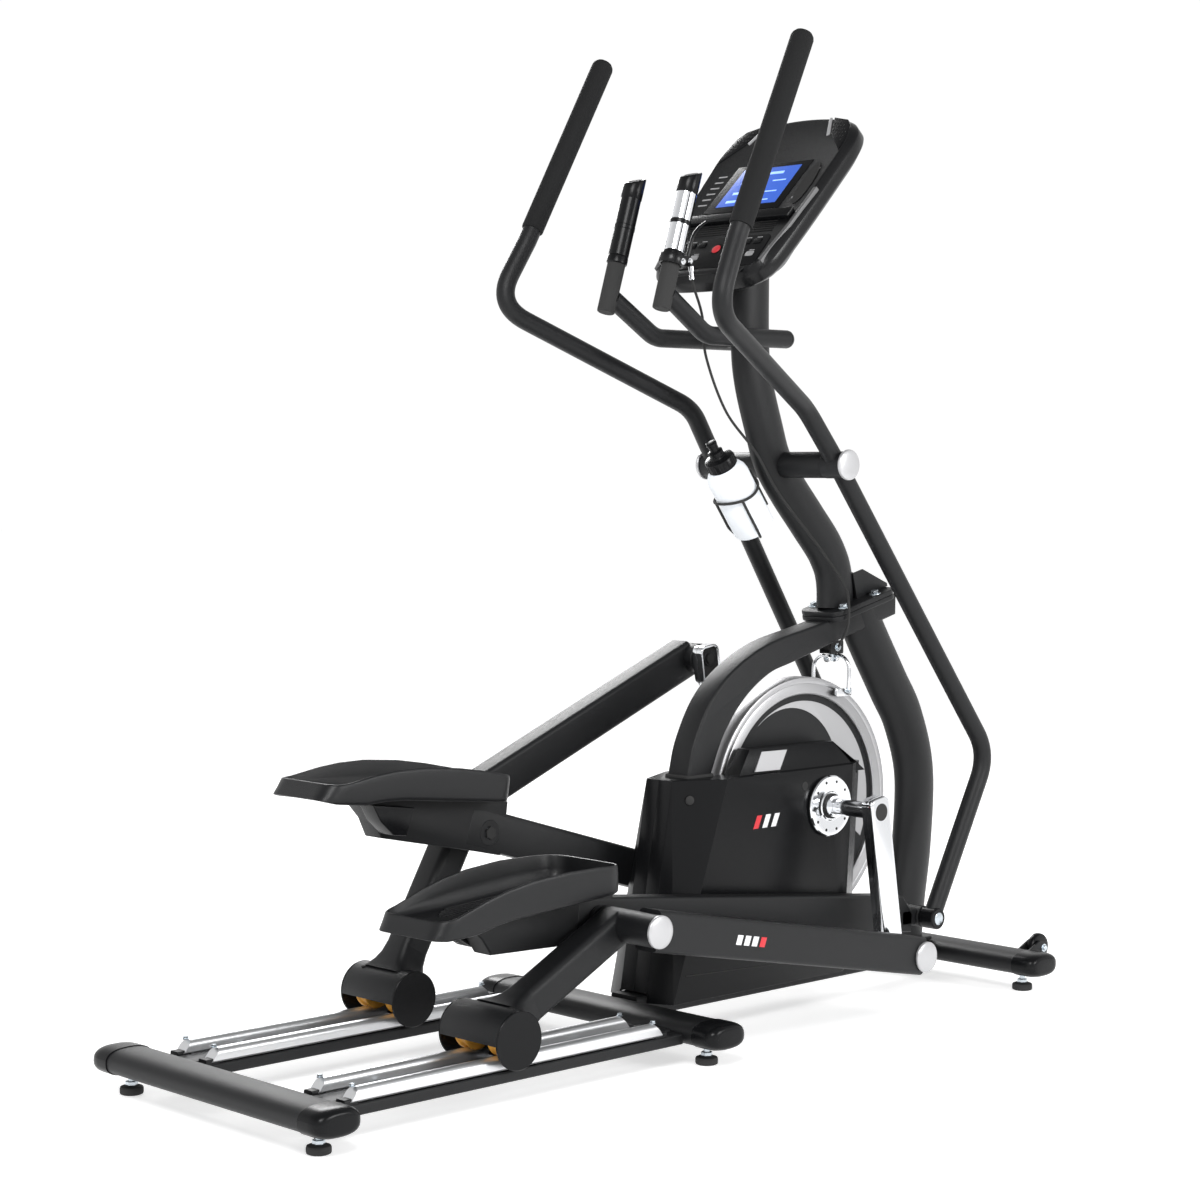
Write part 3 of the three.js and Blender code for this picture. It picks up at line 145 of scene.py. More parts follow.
# ---------------------------------------------------------------- materials
def finish(name, base, rough, metal=0.0, grain=(900, 0.02), coat=0.0, streak=None, emit=0.0, clear=0.0,
           gleam=0.5):
    """Principled shader; grain = (scale, depth) is a noise bump, streak stretches the noise along X.

    The same noise moves the roughness between rough - 0.05 and rough + 0.06."""
    if name in bpy.data.materials:
        return bpy.data.materials[name]
    mat = bpy.data.materials.new(name)
    mat.use_nodes = True
    nodes, links = mat.node_tree.nodes, mat.node_tree.links
    shader = nodes["Principled BSDF"]
    shader.inputs["Base Color"].default_value = (*base, 1)
    shader.inputs["Roughness"].default_value = rough
    shader.inputs["Metallic"].default_value = metal
    shader.inputs["Specular IOR Level"].default_value = gleam
    shader.inputs["Coat Weight"].default_value = coat
    shader.inputs["Coat Roughness"].default_value = 0.12
    if emit:
        shader.inputs["Emission Color"].default_value = (*base, 1)
        shader.inputs["Emission Strength"].default_value = emit
    if clear:
        shader.inputs["Subsurface Weight"].default_value = clear
        shader.inputs["Subsurface Radius"].default_value = (0.01, 0.01, 0.012)
    place = nodes.new("ShaderNodeTexCoord")
    noise = nodes.new("ShaderNodeTexNoise")
    scale, depth = grain
    noise.inputs["Scale"].default_value = scale
    noise.inputs["Detail"].default_value = 3
    if streak:
        stretch = nodes.new("ShaderNodeMapping")
        stretch.inputs["Scale"].default_value = streak
        links.new(place.outputs["Object"], stretch.inputs["Vector"])
        links.new(stretch.outputs["Vector"], noise.inputs["Vector"])
    else:
        links.new(place.outputs["Object"], noise.inputs["Vector"])
    bump = nodes.new("ShaderNodeBump")
    bump.inputs["Strength"].default_value = depth
    bump.inputs["Distance"].default_value = 0.001
    links.new(noise.outputs["Fac"], bump.inputs["Height"])
    links.new(bump.outputs["Normal"], shader.inputs["Normal"])
    spread = nodes.new("ShaderNodeMapRange")
    spread.inputs["To Min"].default_value = max(rough - 0.05, 0.02)
    spread.inputs["To Max"].default_value = rough + 0.06
    links.new(noise.outputs["Fac"], spread.inputs["Value"])
    links.new(spread.outputs["Result"], shader.inputs["Roughness"])
    return mat


def look(kind):
    """The finish of one kind of surface."""
    c = colours()
    tray = tuple(1.3 * v for v in c.plastic)

    def grey(v):
        return (v, v, v * 1.02)

    makers = {
        "coat": lambda: finish("powder_coat", c.coat, 0.42, grain=(900, 0.35), gleam=0.26),
        "plastic": lambda: finish("black_plastic", c.plastic, 0.24, grain=(1400, 0.08), gleam=0.16),
        "tray": lambda: finish("pedal_plastic", tray, 0.36, grain=(1600, 0.2), gleam=0.3),
        "gloss": lambda: finish("gloss_black", c.plastic, 0.28, coat=0.08, gleam=0.22),
        "rubber": lambda: finish("black_rubber", c.rubber, 0.7, grain=(700, 0.4), gleam=0.2),
        "foam": lambda: finish("foam_grip", c.rubber, 0.8, grain=(1100, 0.7), gleam=0.25),
        "chrome": lambda: finish("chrome", grey(0.56), 0.12, 1.0),
        "cap": lambda: finish("silver_cap", grey(0.5), 0.34, 0.6, grain=(1500, 0.05)),
        "rod": lambda: finish("rod_aluminium", grey(0.55), 0.3, 1.0, grain=(60, 0.12), streak=(1, 30, 30)),
        "rim": lambda: finish("turned_rim", grey(0.46), 0.42, 1.0, grain=(300, 0.1)),
        "crescent": lambda: finish("crescent_print", grey(0.4), 0.4, 0.3),
        "zinc": lambda: finish("zinc_bolt", (0.55, 0.6, 0.64), 0.25, 0.9),
        "roller": lambda: finish("roller_orange", c.roller, 0.4, grain=(500, 0.1)),
        "bottle": lambda: finish("bottle_white", c.bottle, 0.35, clear=0.3),
        "display": lambda: finish("display_blue", c.display, 0.15, emit=0.9),
        "digits": lambda: finish("display_digits", (0.3, 0.48, 1.0), 0.3, emit=0.75),
        "label": lambda: finish("white_label", grey(0.3), 0.5),
        "trim": lambda: finish("silver_trim", grey(0.12), 0.45, 0.2),
        "shell": lambda: finish("console_grey", c.shell, 0.4, grain=(900, 0.15)),
        "red": lambda: finish("red_key", (0.6, 0.02, 0.03), 0.35),
        # dark: near-black for black nuts, collars and seams, and painted shade in holes, screw wells, the
        # crank channels and the flange groove
        "dark": lambda: finish("black_and_painted_shade", (0.004, 0.004, 0.004), 0.6),
        "white": lambda: finish("white_print", grey(0.75), 0.45),
    }
    return makers[kind]()


# ---------------------------------------------------------------- surfaces
class Skin:
    """Gathers closed grids of points into one mesh. Each grid is a stack of m rings of n points."""

    def __init__(self, name):
        self.name = name
        self.parts = []

    def add(self, rings, kind, loop=False):
        """Quads join ring to ring and point to point, round the ring.

        The end rings are closed by one face each, or with loop the last ring joins the first. Faces turn
        outwards by the sign of the enclosed volume, a sixth of the sum of a . (b x c) over the triangles."""
        rings = np.asarray(rings, float)
        m, n, _ = rings.shape
        verts = rings.reshape(-1, 3)
        i = np.arange(m if loop else m - 1)[:, None]
        j = np.arange(n)[None, :]
        nxt = ((i + 1) % m) * n
        quads = np.stack([i * n + j, i * n + (j + 1) % n, nxt + (j + 1) % n, nxt + j], -1).reshape(-1, 4)
        ends = [] if loop else [np.arange(n)[::-1], (m - 1) * n + np.arange(n)]
        volume = 0.0
        centre = verts.mean(0)
        for fan in [quads] + [e[None, :] for e in ends]:
            a = verts[fan[:, 0]] - centre
            for k in range(1, fan.shape[1] - 1):
                b = verts[fan[:, k]] - centre
                c = verts[fan[:, k + 1]] - centre
                volume += np.einsum("ij,ij->", a, np.cross(b, c))
        faces = quads.tolist() + [e.tolist() for e in ends]
        if volume < 0:
            faces = [f[::-1] for f in faces]
        self.parts.append((verts, faces, kind))
        return self

    def mirrored(self, side):
        """Turns the piece to the machine's other side: y becomes side times y, each face turned round."""
        if side < 0:
            flip = (1, -1, 1)
            self.parts = [(v * flip, [f[::-1] for f in faces], kind) for v, faces, kind in self.parts]
        return self

    def placed(self, origin, tilt):
        """Turns the piece in the XZ plane, +X up towards +Z by tilt, then moves it to origin."""
        c, s = math.cos(tilt), math.sin(tilt)
        for index, (v, faces, kind) in enumerate(self.parts):
            turned = np.stack([v[:, 0] * c - v[:, 2] * s, v[:, 1], v[:, 0] * s + v[:, 2] * c], 1)
            self.parts[index] = (turned + (origin[0], 0, origin[2]), faces, kind)
        return self

    def build(self, body, *nodes, slot=None, bevel=0.0, sharp=32):
        """Makes the object, in metres, riding on body and standing for the CAD nodes."""
        kinds = list(dict.fromkeys(kind for _, _, kind in self.parts))
        verts, faces, marks, start = [], [], [], 0
        for points, quads, kind in self.parts:
            verts.append(points)
            faces += [[start + k for k in face] for face in quads]
            marks += [kinds.index(kind)] * len(quads)
            start += len(points)
        verts = (np.concatenate(verts) - (REAR_LINE, 0, 0)) / 1000
        mesh = bpy.data.meshes.new(self.name)
        mesh.from_pydata(verts.tolist(), [], faces)
        for kind in kinds:
            mesh.materials.append(look(kind))
        mesh.polygons.foreach_set("material_index", marks)
        mesh.polygons.foreach_set("use_smooth", [True] * len(faces))
        mesh.set_sharp_from_angle(angle=math.radians(sharp))
        mesh.update()
        piece = bpy.data.objects.new(self.name, mesh)
        bpy.context.scene.collection.objects.link(piece)
        if bevel:
            edge = piece.modifiers.new("edge", "BEVEL")
            edge.width = bevel / 1000
            edge.segments = 2
            edge.limit_method = "ANGLE"
            edge.angle_limit = math.radians(50)
            edge.harden_normals = True
        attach(piece, body)
        if nodes:
            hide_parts(*nodes)
        return piece


def oval(a, b, n=40, power=2.0):
    """Ring (a cos t, b sin t) with each term raised to 2/power, which squares it up as power grows."""
    t = np.arange(n) * 2 * np.pi / n
    c, s = np.cos(t), np.sin(t)
    k = 2 / power
    return np.stack([a * np.sign(c) * np.abs(c) ** k, b * np.sign(s) * np.abs(s) ** k], 1)


def rounded(a, b, r, steps=5):
    """Rectangle of half sizes a and b whose corners are quarter circles of radius r."""
    t = np.linspace(0, np.pi / 2, steps + 1)
    c, s = r * np.cos(t), r * np.sin(t)
    quarters = [(a - r + c, b - r + s), (-a + r - s, b - r + c),
                (-a + r - c, -b + r - s), (a - r + s, -b + r - c)]
    return np.concatenate([np.stack(q, 1) for q in quarters])


def spline(points, count):
    """Uniform Catmull-Rom curve through the points, in any dimension: between two points a cubic whose
    slope at each of them is half the step from the point before to the point after."""
    p = np.asarray(points, float)
    p = np.concatenate([[2 * p[0] - p[1]], p, [2 * p[-1] - p[-2]]])
    s = np.linspace(0, len(p) - 3 - 1e-9, count)
    k = s.astype(int)
    t = (s - k)[:, None]
    a, b, c, d = p[k], p[k + 1], p[k + 2], p[k + 3]
    return 0.5 * (2 * b + (c - a) * t + (2 * a - 5 * b + 4 * c - d) * t**2 + (3 * b - a - 3 * c + d) * t**3)


def bend(corners, radii, steps=10):
    """Straight runs joined by parabolic bends that start radius / tan(half angle) before each corner,
    or at 0.48 of the shorter run where that is less."""
    c = np.asarray(corners, float)
    out = [c[:1]]
    for i in range(1, len(c) - 1):
        back, ahead = c[i - 1] - c[i], c[i + 1] - c[i]
        lb, la = np.linalg.norm(back), np.linalg.norm(ahead)
        half = math.acos(np.clip(back @ ahead / lb / la, -1, 1)) / 2
        r = radii[i - 1] if np.ndim(radii) else radii
        reach = min(r / math.tan(half), lb * 0.48, la * 0.48)
        a = c[i] + back / lb * reach
        b = c[i] + ahead / la * reach
        t = np.linspace(0, 1, steps + 1)[:, None]
        out.append((1 - t) ** 2 * a + 2 * t * (1 - t) * c[i] + t**2 * b)
    out.append(c[-1:])
    return np.concatenate(out)


def even(points, count):
    """The same line with its points an equal distance apart, by linear interpolation over its length."""
    p = np.asarray(points, float)
    run = np.concatenate([[0], np.cumsum(np.linalg.norm(np.diff(p, axis=0), axis=1))])
    at = np.linspace(0, run[-1], count)
    return np.stack([np.interp(at, run, p[:, k]) for k in range(p.shape[1])], 1)


def carry(path, section, side=(0, 1, 0)):
    """Section carried along a path: each point (a, b) lies at path + a first + b second.

    first starts along side and turns as little as the path makes it, second is tangent x first. section
    is one ring (n, 2), or a ring for each point (m, n, 2)."""
    path = np.asarray(path, float)
    section = np.asarray(section, float)
    if section.ndim == 2:
        section = np.broadcast_to(section, (len(path), *section.shape))
    steps = np.diff(path, axis=0)
    steps /= np.linalg.norm(steps, axis=1, keepdims=True)
    tangent = np.concatenate([steps[:1], steps[:-1] + steps[1:], steps[-1:]])
    tangent /= np.linalg.norm(tangent, axis=1, keepdims=True)
    first = np.empty_like(path)
    f = np.asarray(side, float)
    for i, t in enumerate(tangent):
        f = f - t * (f @ t)
        f /= np.linalg.norm(f)
        first[i] = f
    second = np.cross(tangent, first)
    return path[:, None] + section[..., :1] * first[:, None] + section[..., 1:] * second[:, None]


def turned(profile, origin, axis=(0, 1, 0), n=48):
    """Profile of (radius, height) turned round axis: origin + radius (cos t u + sin t w) + height axis."""
    profile = np.asarray(profile, float)
    axis = np.asarray(axis, float) / np.linalg.norm(axis)
    helper = np.array([0, 0, 1.0]) if abs(axis[2]) < 0.9 else np.array([1.0, 0, 0])
    u = np.cross(axis, helper)
    u /= np.linalg.norm(u)
    w = np.cross(axis, u)
    t = np.arange(n) * 2 * np.pi / n
    round_ = np.cos(t)[:, None] * u + np.sin(t)[:, None] * w
    radius = np.maximum(profile[:, 0], 0.2)
    return np.asarray(origin, float) + radius[:, None, None] * round_ + profile[:, 1, None, None] * axis


def inset(outline, d):
    """Outline moved inwards by d along the mean of its two edge normals at each point."""
    o = np.asarray(outline, float)
    e = np.roll(o, -1, 0) - o
    e /= np.linalg.norm(e, axis=1, keepdims=True)
    normal = np.stack([-e[:, 1], e[:, 0]], 1)
    mean = normal + np.roll(normal, 1, 0)
    mean /= np.maximum(np.linalg.norm(mean, axis=1, keepdims=True), 1e-9)
    area = np.sum(o[:, 0] * np.roll(o[:, 1], -1) - o[:, 1] * np.roll(o[:, 0], -1))
    return o + mean * (d if area > 0 else -d)


def slab(outline, low, high, edge=1.0, plane="xz"):
    """Flat outline given thickness from low to high. Near each face it moves inwards by
    edge (1 - sin a) at edge (1 - cos a) from the face, a quarter circle of radius edge."""
    t = np.linspace(0, np.pi / 2, 4)
    steps = [(edge * (1 - math.sin(a)), low + edge * (1 - math.cos(a))) for a in t]
    steps += [(edge * (1 - math.sin(a)), high - edge * (1 - math.cos(a))) for a in t[::-1]]
    rings = []
    for d, h in steps:
        o = inset(outline, d)
        h = np.full(len(o), h)
        rings.append(np.stack([o[:, 0], h, o[:, 1]] if plane == "xz" else [o[:, 0], o[:, 1], h], 1))
    return np.array(rings)


def hexagon(radius, thick):
    """Profile of a bolt head with its lower and upper edges taken off."""
    return [(radius * 0.92, 0), (radius, thick * 0.12), (radius, thick * 0.85), (radius * 0.9, thick)]


def bolt(skin, at, axis, size=7, kind="zinc"):
    """Washer and six-sided head, standing on at along axis."""
    at = np.asarray(at, float)
    axis = np.asarray(axis, float) / np.linalg.norm(axis)
    skin.add(turned([(size * 1.45, 0), (size * 1.5, 0.6), (size * 1.45, 1.6)], at, axis, 24), kind)
    skin.add(turned(hexagon(size, size * 0.8), at + axis * 1.6, axis, 6), kind)


def at_crank(dx, z, y=0.0):
    """Point dx ahead of the crank axle, at height z."""
    return (CRANK[0] + dx, y, z)


# ---------------------------------------------------------------- linkage at rest, as the frame has it
def solve_side(name):
    """Roller and knee of one side, with the tilts of its rail arm, pedal beam and swing arm.

    The front joint is where the circle of BEAM_REACH round the knee crosses the swing joint's circle
    round the pivot."""
    knee = joint_at(name + "_knee")
    roller = joint_at(name + "_outer_roller_turn")
    tilt = math.atan2(knee[2] - roller[2], knee[0] - roller[0]) - math.atan2(KNEE[1], KNEE[0])
    reach, radius = BEAM_REACH, PIVOT[2] - JOINT_HEIGHT
    to = (PIVOT - knee)[[0, 2]]
    apart = np.linalg.norm(to)
    along = (reach**2 - radius**2 + apart**2) / (2 * apart)
    off = math.sqrt(reach**2 - along**2)
    d = to / apart
    joint = knee[[0, 2]] + along * d + off * np.array([d[1], -d[0]])
    beam = math.atan2(joint[1] - knee[2], joint[0] - knee[0])
    swing = math.atan2(joint[1] - PIVOT[2], joint[0] - PIVOT[0])
    return {"knee": knee, "roller": roller, "tilt": tilt, "beam": beam, "swing": swing}


LINKS = {name: solve_side(name) for name in SIDES}
LEG_Y = 167.0
BEAM_IN, BEAM_OUT = 85.0, 128.0
ARM_IN, ARM_OUT = 215.0, 262.0
CRANK_IN, CRANK_OUT = 172.0, 196.0


# ---------------------------------------------------------------- base
def crossbar(name, x, feet):
    """Oval tube across the machine, with a longer rounded plastic cap on each end."""
    s = sizes()
    a, b = s.bar_width / 2, s.bar_height / 2
    end = feet + BAR_PAST_FOOT
    skin = Skin(name + "_crossbar_tube")
    tube = [(x, -end + 34, BAR_Z), (x, end - 34, BAR_Z)]
    skin.add(carry(tube, oval(a, b, 48, 2.6), side=(1, 0, 0)), "coat")
    for side in (-1, 1):
        stations = [(-46, 0.9, 0.9), (-46, 1.04, 1.07), (-24, 1.04, 1.07), (-15, 1.02, 1.05),
                    (-8, 0.96, 0.99), (-3, 0.86, 0.88), (-0.8, 0.74, 0.74), (0, 0.6, 0.56)]
        path = [(x, side * (end + d), BAR_Z) for d, _, _ in stations]
        path[0] = (x, side * (end - 46.4), BAR_Z)
        rings = np.array([oval(a * p, b * q, 48, 2.6) for _, p, q in stations])
        skin.add(carry(path, rings, side=(1, 0, 0)), "plastic")
    if name == "front":
        for side in (-1, 1):
            for lean in (-1, 1):
                y = side * WHEEL_Y + lean * 11.5
                ear = bend([(x + 30, 0, 38), (x + 60, 0, 52), (x + 84, 0, 60), (x + 84, 0, 74),
                            (x + 60, 0, 80), (x + 28, 0, 66)], 8, 4)[:, [0, 2]]
                skin.add(slab(ear, y - 2, y + 2, 0.8), "coat")
            for lean in (-1, 1):
                bolt(skin, (x + WHEEL_AHEAD, side * WHEEL_Y + lean * 13.5, WHEEL_Z), (0, lean, 0), 5)
    skin.build("frame", name + "_crossbar", slot="black_frame")
    for label, side in SIDES.items():
        foot = Skin(f"{name}_{label}_foot_pad")
        foot.add(turned([(0, 0), (15, 0), (17.4, 1.2), (18, 3), (18, 9), (17, 11.5), (12, 13.4), (0, 13.6)],
                        (x, side * feet, 0), (0, 0, 1), 40), "rubber")
        foot.add(turned(hexagon(9.5, 6.5), (x, side * feet, 13.7), (0, 0, 1), 6), "zinc")
        foot.add(turned([(5, 0), (5, 14)], (x, side * feet, 20.3), (0, 0, 1), 20), "zinc")
        foot.build(f"{name}_{label}_foot_body", f"{name}_{label}_foot", slot="black_rubber")


def rails(label, side):
    """Beam with its rod stops, and the two rods of one side."""
    low, high = cad_box(label + "_rail_beam")
    skin = Skin(label + "_rail_track")
    y = side * LEG_Y
    mid = (low[0] + high[0]) / 2
    skin.add(carry([(low[0], y, 43.5), (high[0], y, 43.5)], rounded(49.6, 8.5, 3)), "coat")
    skin.add(carry([(low[0] + 2, y, BAR_Z), (high[0] - 2, y, BAR_Z)], rounded(24, 5, 2)), "coat")
    rod_low, rod_high = cad_box(label + "_outer_rail_rod")
    for which, s in (("outer", 1), ("inner", -1)):
        rod_y = y + side * s * ROD_OUT
        for x, face in ((rod_low[0] + 3, -1), (rod_high[0] - 4, 1)):
            skin.add(carry([(x - 12, rod_y, 53), (x + 12, rod_y, 53)], rounded(10, 7, 3)), "coat")
            skin.add(turned([(5, 0), (5, 1), (4, 1.6)], (x - face * 9, rod_y, 75), (0, 0, 1), 24), "zinc")
            skin.add(turned(hexagon(4, 3), (x - face * 9, rod_y, 76.6), (0, 0, 1), 6), "zinc")
        for x in (rod_low[0] + 110, mid, rod_high[0] - 110):
            head = [(5, 0), (5, 1.4), (3.8, 2.4)]
            skin.add(turned(head, (x, y + side * s * 14, 54.6), (0, 0, 1), 20), "zinc")
        rod = Skin(f"{label}_{which}_rod")
        span = rod_high[0] - rod_low[0]
        skirt = [(-11.5, -8), (-9, -11), (9, -11), (11.5, -8)]
        section = np.concatenate([oval(11.5, 10, 40)[:21], skirt])
        rings = carry([(rod_low[0], rod_y, 65), (rod_low[0] + span, rod_y, 65)], section)
        rings[0, :, 0] += 0.8 * (rings[0, :, 2] - 54)
        rings[-1, :, 0] -= 0.8 * (rings[-1, :, 2] - 54)
        rod.add(rings, "rod")
        rod.build("frame", f"{label}_{which}_rail_rod", slot="rod_aluminium")
    skin.build("frame", label + "_rail_beam", slot="black_frame")


def wheels():
    """Transport wheels with a rounded tread. Their bolts belong to the front crossbar."""
    for label, side in SIDES.items():
        wheel = Skin(label + "_tyre")
        half = [(4.4, 7), (9, 7.5), (20, 7), (23, 6.4), (24.6, 4.2)]
        profile = [(a, -b) for a, b in half] + [(25, 0)] + half[::-1]
        at = (FRONT_X + WHEEL_AHEAD, side * WHEEL_Y, WHEEL_Z)
        wheel.add(turned(profile, at, (0, 1, 0), 48), "plastic", loop=True)
        wheel.build(label + "_wheel", label + "_transport_wheel", slot="black_rubber")


# ---------------------------------------------------------------- masts and arch
FLANGE_TILT = math.radians(14)
FLANGE = (CRANK[0] + 138, 0, 687)
MAST_LOWER = [at_crank(290, 50), at_crank(300, 143), at_crank(317, 250), at_crank(322, 380),
              at_crank(290, 480), at_crank(246, 547), at_crank(184, 640), at_crank(150, 700)]


def upper_line():
    """Centre line of the upper mast, from the flange to the console."""
    low = [at_crank(98, 640), at_crank(99, 735), at_crank(77, 790), at_crank(25, 848), at_crank(-26, 902)]
    high = [(-8, 6), (-30, 61), (-58, 146), (-66, 216), (-66, 356)]
    return low + [(PIVOT[0] + dx, 0, PIVOT[2] + dz) for dx, dz in high]


def on_flange(skin):
    """Moves a piece drawn round the origin onto the tilted flange."""
    return skin.placed(FLANGE, FLANGE_TILT)


def masts():
    """Lower mast cut under the flange, upper mast, the upper flange plate with bolts and the gusset channel;
    the lower plate comes with the arch.
    """
    rings = carry(spline(MAST_LOWER, 60), oval(27, 46, 56))
    ceiling = FLANGE[2] + (rings[..., 0] - FLANGE[0]) * math.tan(FLANGE_TILT) - 1.5
    rings[..., 2] = np.clip(rings[..., 2], 66, ceiling)
    skin = Skin("lower_mast_tube").add(rings, "coat")
    foot = rounded(52, 33, 10)
    skin.add(slab(foot + (CRANK[0] + 292, 0), 70, 76, 1.5, "xy"), "coat")
    skin.build("frame", "lower_mast", slot="black_frame")

    upper = Skin("upper_mast_tube")
    path = spline(upper_line(), 90)
    upper.add(carry(path[path[:, 2] > 690], oval(25, 40, 56)), "coat")
    flange = Skin("upper_flange")
    flange.add(slab(rounded(84, 48, 22, 8), 9.4, 18.2, 1.6, "xy"), "coat")
    for x, y in ((-50, 35), (-50, -35), (36, 35), (36, -35), (76, 0)):
        bolt(flange, (x, y, 18.2), (0, 0, 1), 7)
    for y in (-20, 20):
        web = [(2, 18), (88, 18), (88, 24), (30, 66), (2, 66)]
        flange.add(slab(web, y - 2, y + 2, 0.7), "coat")
    flange.add(slab([(8, 18), (14, 18), (14, 60), (8, 60)], -20, 20, 0.7), "coat")
    upper.parts += on_flange(flange).parts
    upper.build("frame", "upper_mast", slot="black_frame")


def arch():
    """Square tube bent over the flywheel: smooth outer and inner edges, rounded long corners."""
    outer = [(-296, 425), (-280, 480), (-240, 548), (-181, 598), (-96, 637), (9, 660), (84, 676)]
    inner = [(86, 634), (-32, 602), (-96, 584), (-158, 544), (-207, 487), (-239, 422)]

    def curve(points, count):
        """Spline through points that are given from the crank axle."""
        return spline([(CRANK[0] + a, b) for a, b in points], count)

    end = np.array([(CRANK[0] + 240, 712), (CRANK[0] + 240, 674)])
    base = [np.array([(CRANK[0] - 239, 72)]), np.array([(CRANK[0] - 296, 72)])]
    outline = np.concatenate([base[1], curve(outer, 44), end, curve(inner, 40), base[0]])
    skin = Skin("arch_beam").add(slab(outline, -25, 25, 5), "coat")
    plate = Skin("plate").add(slab(rounded(84.5, 48, 22, 8), 0, 9, 1.6, "xy"), "coat")
    # Painted shade: a dark layer, 2 mm in from the plate edges, fills the groove between the two flange
    # plates.
    plate.add(slab(rounded(82.5, 46.5, 21, 8), 8.6, 9.8, 0.3, "xy"), "dark")
    skin.parts += on_flange(plate).parts
    gasket = rounded(33, 30, 9, 6)
    skin.add(slab(gasket + (CRANK[0] - 267.5, 0), 416, 424.5, 2.5, "xy"), "rubber")
    skin.build("frame", "arch_tube", slot="black_frame")


def swing_shaft():
    """Cross tube through the mast, with a thinner stub into each swing arm's hub."""
    skin = Skin("cross_shaft")
    skin.add(turned([(22, -118), (22.5, -117), (22.5, 117), (22, 118)], PIVOT, (0, 1, 0), 48), "coat")
    for side in (-1, 1):
        skin.add(turned([(10, 0), (10, 40)], PIVOT + (0, side * 118, 0), (0, side, 0), 24), "zinc")
    skin.build("frame", "swing_shaft", slot="black_frame")


# ---------------------------------------------------------------- drive
def flywheel():
    """Turned rim with a bright edge, black web, and a crescent print on each face."""
    r = sizes().rim
    skin = Skin("flywheel_disc")
    half = [(30, 14), (28, 16), (12, 16), (11, 15.4), (10, 16), (3, 16), (1, 15), (0, 13)]
    rim = [(r - a, -b) for a, b in half] + [(r - a, b) for a, b in half[::-1]]
    skin.add(turned(rim, CRANK, (0, 1, 0), 144), "rim", loop=True)
    web = [(15, -7), (40, -9), (r - 29.5, -9), (r - 29.5, 9), (40, 9), (15, 7)]
    skin.add(turned(web, CRANK, (0, 1, 0), 96), "coat", loop=True)
    hub = [(14.6, -38), (24, -38), (25, -37), (25, -28), (20, -28), (20, -18), (32, -14), (32, 14), (26, 18),
           (14.6, 18)]
    skin.add(turned(hub, CRANK, (0, 1, 0), 48), "zinc", loop=True)
    t = np.linspace(math.radians(-25), math.radians(127), 60)
    far = (r - 42) * np.stack([np.cos(t), np.sin(t)], 1)
    near_centre = np.array([-29.6, 37.8])
    near = near_centre + (r - 90.5) * np.stack([np.cos(t[::-1]), np.sin(t[::-1])], 1)
    crescent = np.concatenate([far, near]) + CRANK[[0, 2]]
    for side in (-1, 1):
        skin.add(slab(crescent, side * 9 - 0.6, side * 9 + 0.6, 0.2), "crescent")
    skin.build("flywheel_set", "flywheel", slot="flywheel_steel")


def cranks():
    """Axle with a drilled disc against each housing wall, and a channel-shaped arm on each end; holes and arm
    insides are painted shade.
    """
    skin = Skin("crank_axle_set")
    skin.add(turned([(13, -171.6), (14, -170.6), (14, 170.6), (13, 171.6)], CRANK, (0, 1, 0), 40), "chrome")
    for side in (-1, 1):
        disc = [(15, 76), (51, 76), (53, 78), (53, 81), (51, 83), (34, 83), (31, 81.5), (26, 81.5), (24, 83),
                (15, 83)]
        skin.add(turned([(a, side * b) for a, b in disc], CRANK, (0, 1, 0), 72), "chrome", loop=True)
        for bore, out, near, far, kind in ((14.2, 22, 83.1, 86, "dark"), (14.3, 19, 86, 97, "chrome")):
            collar = [(bore, side * near), (out, side * near), (out, side * far), (bore, side * far)]
            skin.add(turned(collar, CRANK, (0, 1, 0), 40), kind, loop=True)
        # Painted shade: ten small dark spots on each disc's face stand in for the shade inside its drill
        # holes.
        for k in range(10):
            a = 2 * math.pi * k / 10
            spot = CRANK + (43 * math.cos(a), side * 83, 43 * math.sin(a))
            skin.add(turned([(2.6, -0.5), (2.6, 0.25)], spot, (0, side, 0), 16), "dark")
    skin.build("crank_set", "crank_axle", slot="chrome")

    span = CRANK_SPAN
    for name, side in SIDES.items():
        crank = CRANK_REST + (math.pi if name == "left" else 0)
        arm = Skin(name + "_crank")
        outline = rounded(span / 2 + 25, 23.5, 13, 8) + (span / 2, 0)
        arm.add(slab(outline, CRANK_IN + 8, CRANK_OUT, 3), "chrome")
        wall = inset(outline, 5)
        steps = [(outline, 12), (outline, 1), (inset(outline, 1), 0), (inset(outline, 4), 0), (wall, 1),
                 (wall, 12)]
        rings = [np.stack([o[:, 0], np.full(len(o), CRANK_IN + y), o[:, 1]], 1) for o, y in steps]
        arm.add(np.array(rings), "chrome", loop=True)
        # Painted shade: a dark sheet on the channel's inner web, where the inside of the arm lies in shade.
        arm.add(slab(inset(outline, 4.6), CRANK_IN + 6, CRANK_IN + 9, 0.3), "dark")
        arm.add(turned([(17, CRANK_IN + 1), (17, CRANK_IN + 16)], (0, 0, 0), (0, 1, 0), 40), "coat")
        boss = [(13, CRANK_IN + 3), (14, CRANK_IN + 4), (14, CRANK_IN + 16)]
        arm.add(turned(boss, (span, 0, 0), (0, 1, 0), 40), "coat")
        arm.add(turned([(9, CRANK_IN - 0.2), (9, CRANK_IN + 3)], (span, 0, 0), (0, 1, 0), 32), "dark")
        nut = [(15, CRANK_OUT - 2), (15, CRANK_OUT + 0.4), (13, CRANK_OUT + 0.9), (9, CRANK_OUT + 0.9)]
        arm.add(turned(nut, (0, 0, 0), (0, 1, 0), 32), "dark")
        arm.placed(CRANK, crank - math.pi / 2).mirrored(side)
        arm.build("crank_set", name + "_crank_arm", slot="chrome")


